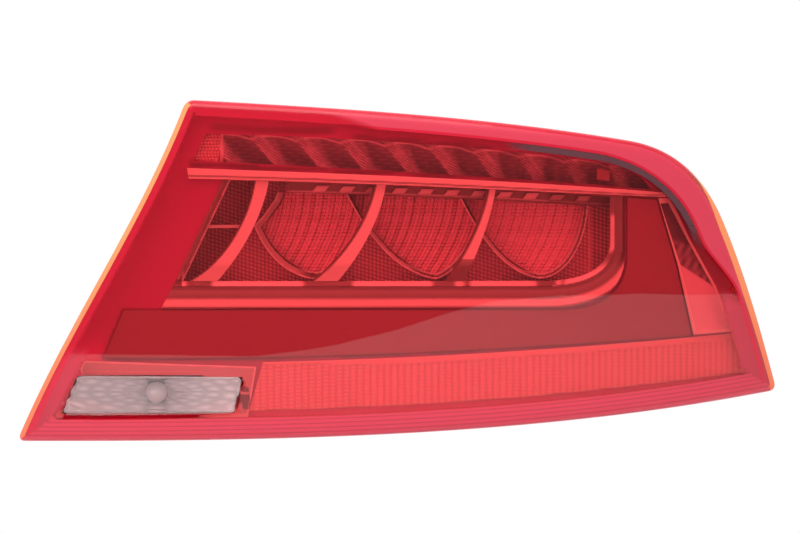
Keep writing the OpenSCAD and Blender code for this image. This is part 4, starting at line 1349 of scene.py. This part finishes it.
@dataclass
class LowerRow:
    """Reflex reflector and reversing light."""

    prism: tuple = (4.2, 2.3)
    bulb: tuple = (-147.0, -73.0)
    bulb_r: float = 6.8
    bulb_len: float = 26.0
    bulb_root: float = 50.0
    glass_t: float = 0.7
    prism_h: float = 0.9
    lean: float = 0.06
    bend: float = 2e-4
    bowl_deep: float = 39.0
    bowl_rise: float = 20.0
    bowl_reach: tuple = (56.0, 15.0)
    bowl_back: float = 41.0
    wall_slope: float = 6.0
    base: tuple = ((0, -14), (2.4, -14), (3.2, -12.5), (5.9, -8), (5.9, -2), (6.7, -2), (6.7, 0), (0, 0))
    filament: tuple = ((0, -19), (1.0, -19), (1.0, -14), (0, -14))

    def build(self) -> None:
        """Makes the reflex reflector, the reversing bowl with its bulb, and its frame."""
        reflex = plate("reflex_prisms", Outlines.reflex, self.prisms, Depths.REFLEX_BACK, (), 0.75, 60,
                       tone_of(self.prism_tone))
        fit(reflex, Shine.reflex, "reflex_red", "reflex_reflector")
        frame = plate("reverse_surround", Outlines.reverse, Depths.RAISED, Depths.BEZEL,
                      [Outlines.reverse_opening], 0.55, 35, tone_of(self.frame_tone))
        fit(frame, Shine.frame, "bright_trim", "reverse_frame")
        self.reversing()

    def cells(self, x: Array, z: Array) -> tuple[Array, Array]:
        """Columns count along the face's arc, and rows follow the strip's own lean."""
        return FACE.arc(x) / self.prism[0], (z - self.lean * x + self.bend * x * x) / self.prism[1]

    def border(self, x: Array, z: Array) -> Array:
        """One on the smooth band along the top of the reflex strip."""
        top = Outlines.reflex[:41]
        wide = 1.6 + 2.0 * smooth(-60, -12, x)
        return smooth(-0.3, 0.3, z - np.interp(x, top[:, 0], top[:, 1]) + wide)

    def prisms(self, x: Array, z: Array) -> Array:
        """Pyramids: the larger of the two distances from the middle of a cell."""
        u, v = self.cells(x, z)
        pyramid = np.maximum(np.abs(2 * (u % 1) - 1), np.abs(2 * (v % 1) - 1))
        return Depths.RAISED + 0.2 + self.prism_h * pyramid * (1 - self.border(x, z))

    def prism_tone(self, x: Array, z: Array) -> Array:
        """Dots at the inboard end, upright bars further out, and a bright band along the top."""
        u, v = self.cells(x, z)
        bars = smooth(0.45, 0.9, np.abs(2 * (u % 1) - 1))
        rows = smooth(0.45, 0.9, np.abs(2 * (v % 1) - 1))
        dots = np.maximum(bars, rows)
        out = smooth(-35, -15, x)
        tone = 0.95 - 0.32 * (dots + (0.8 * bars + 0.35 * rows - dots) * out)
        return tone + (1 - tone) * self.border(x, z)

    def frame_tone(self, x: Array, z: Array) -> Array:
        """Painted highlights on the edges of the surround, a band of painted light under it and a few dark
        notches.
        """
        inner, outer = gap(x, z, Outlines.reverse_opening), gap(x, z, Outlines.reverse)
        edges = np.maximum(between(0.2, 0.9, inner, 0.2), between(0.2, 1.0, outer, 0.2))
        notches = between(-189, -152, x, 0.3) * between(-62.6, -60.2, z)
        notches = notches + between(-96.5, -91, x + 0.18 * (z + 72), 0.2) * (
            between(-73, -70, z) + between(-83.5, -74.5, z))
        # Painted light in the band under the surround.
        under = smooth(-86.0, -86.4, z)
        return np.maximum(0.6 + 0.4 * edges, under) - 0.5 * np.clip(notches, 0, 1)

    def reversing(self) -> None:
        """Facetted silver bowl round the clear bulb, whose glass is shown in a grey part-metallic finish,
        with its filament.
        """

        def facets(x: Array, z: Array) -> Array:
            """Long flat rings and spokes of facets about the bulb, 0 to 1."""
            dx, dz = (x - self.bulb[0]) * 0.4, (z - self.bulb[1]) * 1.5
            ring, spoke = np.hypot(dx, dz) / 4.0, np.arctan2(dz, dx) * 9 / np.pi
            return np.abs(np.sin(np.pi * ring) * np.sin(np.pi * spoke))

        def depth(x: Array, z: Array) -> Array:
            """Bowl: deepest at the bulb, shallower by a square towards the ends, with a sloping wall."""
            wide, high = self.bowl_reach
            far = np.clip(np.hypot((x - self.bulb[0]) / wide, (z - self.bulb[1]) / high), 0, 1)
            wall = Depths.BEZEL + 0.1 + self.wall_slope * gap(x, z, Outlines.reverse_opening)
            return np.minimum(wall, self.bowl_deep - self.bowl_rise * far**2 - 1.2 * facets(x, z))

        def bright(x: Array, z: Array) -> Array:
            """Light facets with darker joints, and a white strip beside the inboard edge."""
            strip = between(1.2, 2.2, x + 194.2 - 0.43 * (z + 63.4), 0.2)
            return np.maximum(0.35 + 0.65 * facets(x, z) ** 1.5, strip)

        turn = np.linspace(0, -2 * np.pi, 40, endpoint=False)
        port = np.array(self.bulb) + (self.bulb_r + 0.15) * np.stack([np.cos(turn), np.sin(turn)], axis=1)
        bowl = plate("reverse_facets", Outlines.reverse_opening, depth, self.bowl_back, [port], 0.8, 60,
                     tone_of(bright))
        fit(bowl, Shine.bowl, "reflector_silver", "reverse_bowl")
        root = float(FACE.layer(self.bulb[0], self.bulb[1], self.bulb_root))
        angle, thin = np.radians(np.arange(0, 91, 10)), self.bulb_r - self.glass_t
        dome = [(self.bulb_r * math.sin(a), -self.bulb_len + self.bulb_r * (1 - math.cos(a))) for a in angle]
        inner = [(max(r - self.glass_t, 0.0), y + self.glass_t) for r, y in reversed(dome)]
        glass = revolved("bulb_glass", self.bulb, [*dome, (self.bulb_r, -2.0), (thin, -2.0), *inner], root)
        fit(glass, Shine.bulb, "bulb_glass", "reverse_bulb")
        fit(revolved("bulb_base", self.bulb, self.base, root), Shine.base, "steel")
        fit(revolved("bulb_filament", self.bulb, self.filament, root), Shine.filament, "steel")


# The view


@dataclass
class Studio:
    """Camera, white surroundings, lamps and floor."""

    distance: float = 12.0
    width: float = 0.488
    centre: tuple = (0.0006, 0.0027)
    sensor: float = 36.0
    room: float = 0.7
    within: float = 0.85
    lamps: tuple = (("top", (0.1, -0.9, 1.3), 1.2, 15.0), ("left", (-1.3, -1.0, 0.4), 1.0, 7.5))
    ground: float = -250.0
    ground_wide: float = 4000.0
    ground_back: float = 6000.0
    mirrored: tuple = ((-215, -51), (-150, -51.5), (-91, -52.5), (-60, -49), (-39, -45.5), (0, -36),
                       (31, -26), (62, -18), (98, -15), (150, -14), (200, -14.5), (222, -15))

    def build(self) -> None:
        """Sets up the view."""
        bpy.context.scene.view_settings.view_transform = "Standard"
        self.camera()
        self.world()
        for settings in self.lamps:
            self.lamp(*settings)
        self.floor()

    def camera(self) -> None:
        """Long lens level with the lamp, as far as the flat perspective of the photo needs."""
        data = bpy.data.cameras.new("camera")
        data.sensor_width = self.sensor
        data.lens = self.sensor * self.distance / self.width
        data.clip_end = 100.0
        camera = bpy.data.objects.new("camera", data)
        camera.location = (self.centre[0], -self.distance, self.centre[1])
        camera.rotation_euler = (math.radians(90), 0, 0)
        bpy.context.scene.collection.objects.link(camera)
        bpy.context.scene.camera = camera

    def lamp(self, name: str, place: tuple, size: float, power: float) -> None:
        """Square area lamp that faces the origin."""
        data = bpy.data.lights.new(name, "AREA")
        data.shape, data.size, data.energy = "SQUARE", size, power
        lamp = bpy.data.objects.new(name, data)
        lamp.location = place
        lamp.rotation_euler = (-Vector(place)).to_track_quat("-Z", "Y").to_euler()
        lamp.visible_camera = False
        bpy.context.scene.collection.objects.link(lamp)

    def world(self) -> None:
        """White to the camera and behind the lamp, bright within the lens, and dark to the mirrors in
        front but for a pale top."""
        scene = bpy.context.scene
        scene.world = bpy.data.worlds.new("studio")
        graph = Graph(scene.world)
        direction = graph.node("SeparateXYZ", None, Vector=graph.node("TexCoord").outputs["Generated"])
        _, y, z = (Value(graph, out) for out in direction.outputs)
        behind = y.step(-0.2, 0.3)
        sky = z.step(0.35, 0.8) * 0.7
        path = {key: graph.number("LightPath", key) for key in
                ("Is Camera Ray", "Is Glossy Ray", "Is Transmission Ray")}
        mirrored = (behind + sky * 0.4 + 0.02).below(1.0)
        level = self.room + path["Is Glossy Ray"] * (mirrored - self.room)
        inner = (behind + sky + (0.0 - z).step(0.1, 0.5) * 0.5 + self.within).below(1.0)
        level = level + path["Is Transmission Ray"] * (inner - level)
        level = level + path["Is Camera Ray"] * (1.0 - level)
        background = graph.node("Background", None, Color=graph.colours(level, (0, 0, 0), (1, 1, 1)),
                                Strength=1.0)
        graph.end(background, "OutputWorld")

    def floor_edge(self) -> Points:
        """Front edge of the floor: where the lens throws the mirrored line of the view onto the ground.

        A ray (0, 1, 0) leaves a surface y = f(x, z) along (2 fx, 1 - fx^2 - fz^2 - 2 + 2 (fx^2 + fz^2), 2 fz)
        over 1 + fx^2 + fz^2, where fx and fz are its slopes.
        """
        x, z = np.asarray(self.mirrored, float).T
        fx = FACE.lens(x + 0.5, z) - FACE.lens(x - 0.5, z)
        fz = FACE.lens(x, z + 0.5) - FACE.lens(x, z - 0.5)
        far = (self.ground - z) / (2 * fz)
        return np.stack([x + far * 2 * fx, FACE.lens(x, z) + far * (fx**2 + fz**2 - 1)], axis=1)

    def floor(self) -> None:
        """White ground below the lamp, white to the camera, with the shadow of the lamp."""
        edge, wide, back = self.floor_edge(), self.ground_wide, self.ground_back
        corners = polygon([(-wide, edge[0, 1])], edge, [(wide, edge[-1, 1]), (wide, back), (-wide, back)])
        vertices = np.column_stack([corners, np.full(len(corners), self.ground)])
        floor = make_object("floor", vertices, [range(len(corners))])
        material = bpy.data.materials.new("floor")
        graph = Graph(material)
        white = graph.node("BsdfDiffuse", None, Color=(0.9, 0.9, 0.9))
        glow = graph.node("Emission", None, Color=(1, 1, 1), Strength=1.0)
        seen = graph.number("LightPath", "Is Camera Ray")
        graph.end(graph.shaders(seen, white, glow))
        floor.data.materials.append(material)


class Carried:
    """Solids that are shown as they are, each with a finish."""

    finishes = {
        "housing_black": Plastic((0.03, 0.03, 0.032), 0.5),
        "carrier_grey": Plastic((0.1, 0.1, 0.105), 0.5),
        "bezel_satin": Shine.panel,
        "panel_gloss": Shine.panel,
        "bright_trim": Metallised((0.9, 0.9, 0.9)),
        "reflector_silver": Metallised((0.75, 0.75, 0.76), roughness=0.2, metallic=0.7),
        "optic_clear": Metallised((0.7, 0.7, 0.7)),
        "reflex_red": Plastic((0.7, 0.05, 0.07), 0.3),
        "board_green": Board(),
        "bulb_glass": Clear((0.97, 0.97, 0.98), ior=1.3),
        "holder_black": Plastic((0.03, 0.03, 0.03), 0.4),
        "seal_rubber": Plastic((0.02, 0.02, 0.02), 0.8),
        "terminal_brass": Metal((0.78, 0.62, 0.32)),
        "steel": Metal((0.62, 0.62, 0.64)),
        "lens_red": RedLens(),
        "lens_clear": Clear((0.98, 0.93, 0.94)),
    }

    def build(self) -> None:
        """Gives each solid the finish of its slot."""
        slots = {part["node"]: part["material_slot"] for part in frame["record"]["subparts"]}
        for name, node in frame["nodes"].items():
            slot = slots[name]
            node.data.materials.clear()
            node.data.materials.append(material_of(self.finishes[slot], slot + ".solid"))


def main() -> None:
    """Builds the whole scene."""
    Carried().build()
    OuterLens().build()
    Panels().build()
    TurnStrip().build()
    TailChamber().build()
    LowerRow().build()
    Studio().build()


if __name__ == "__main__":
    main()
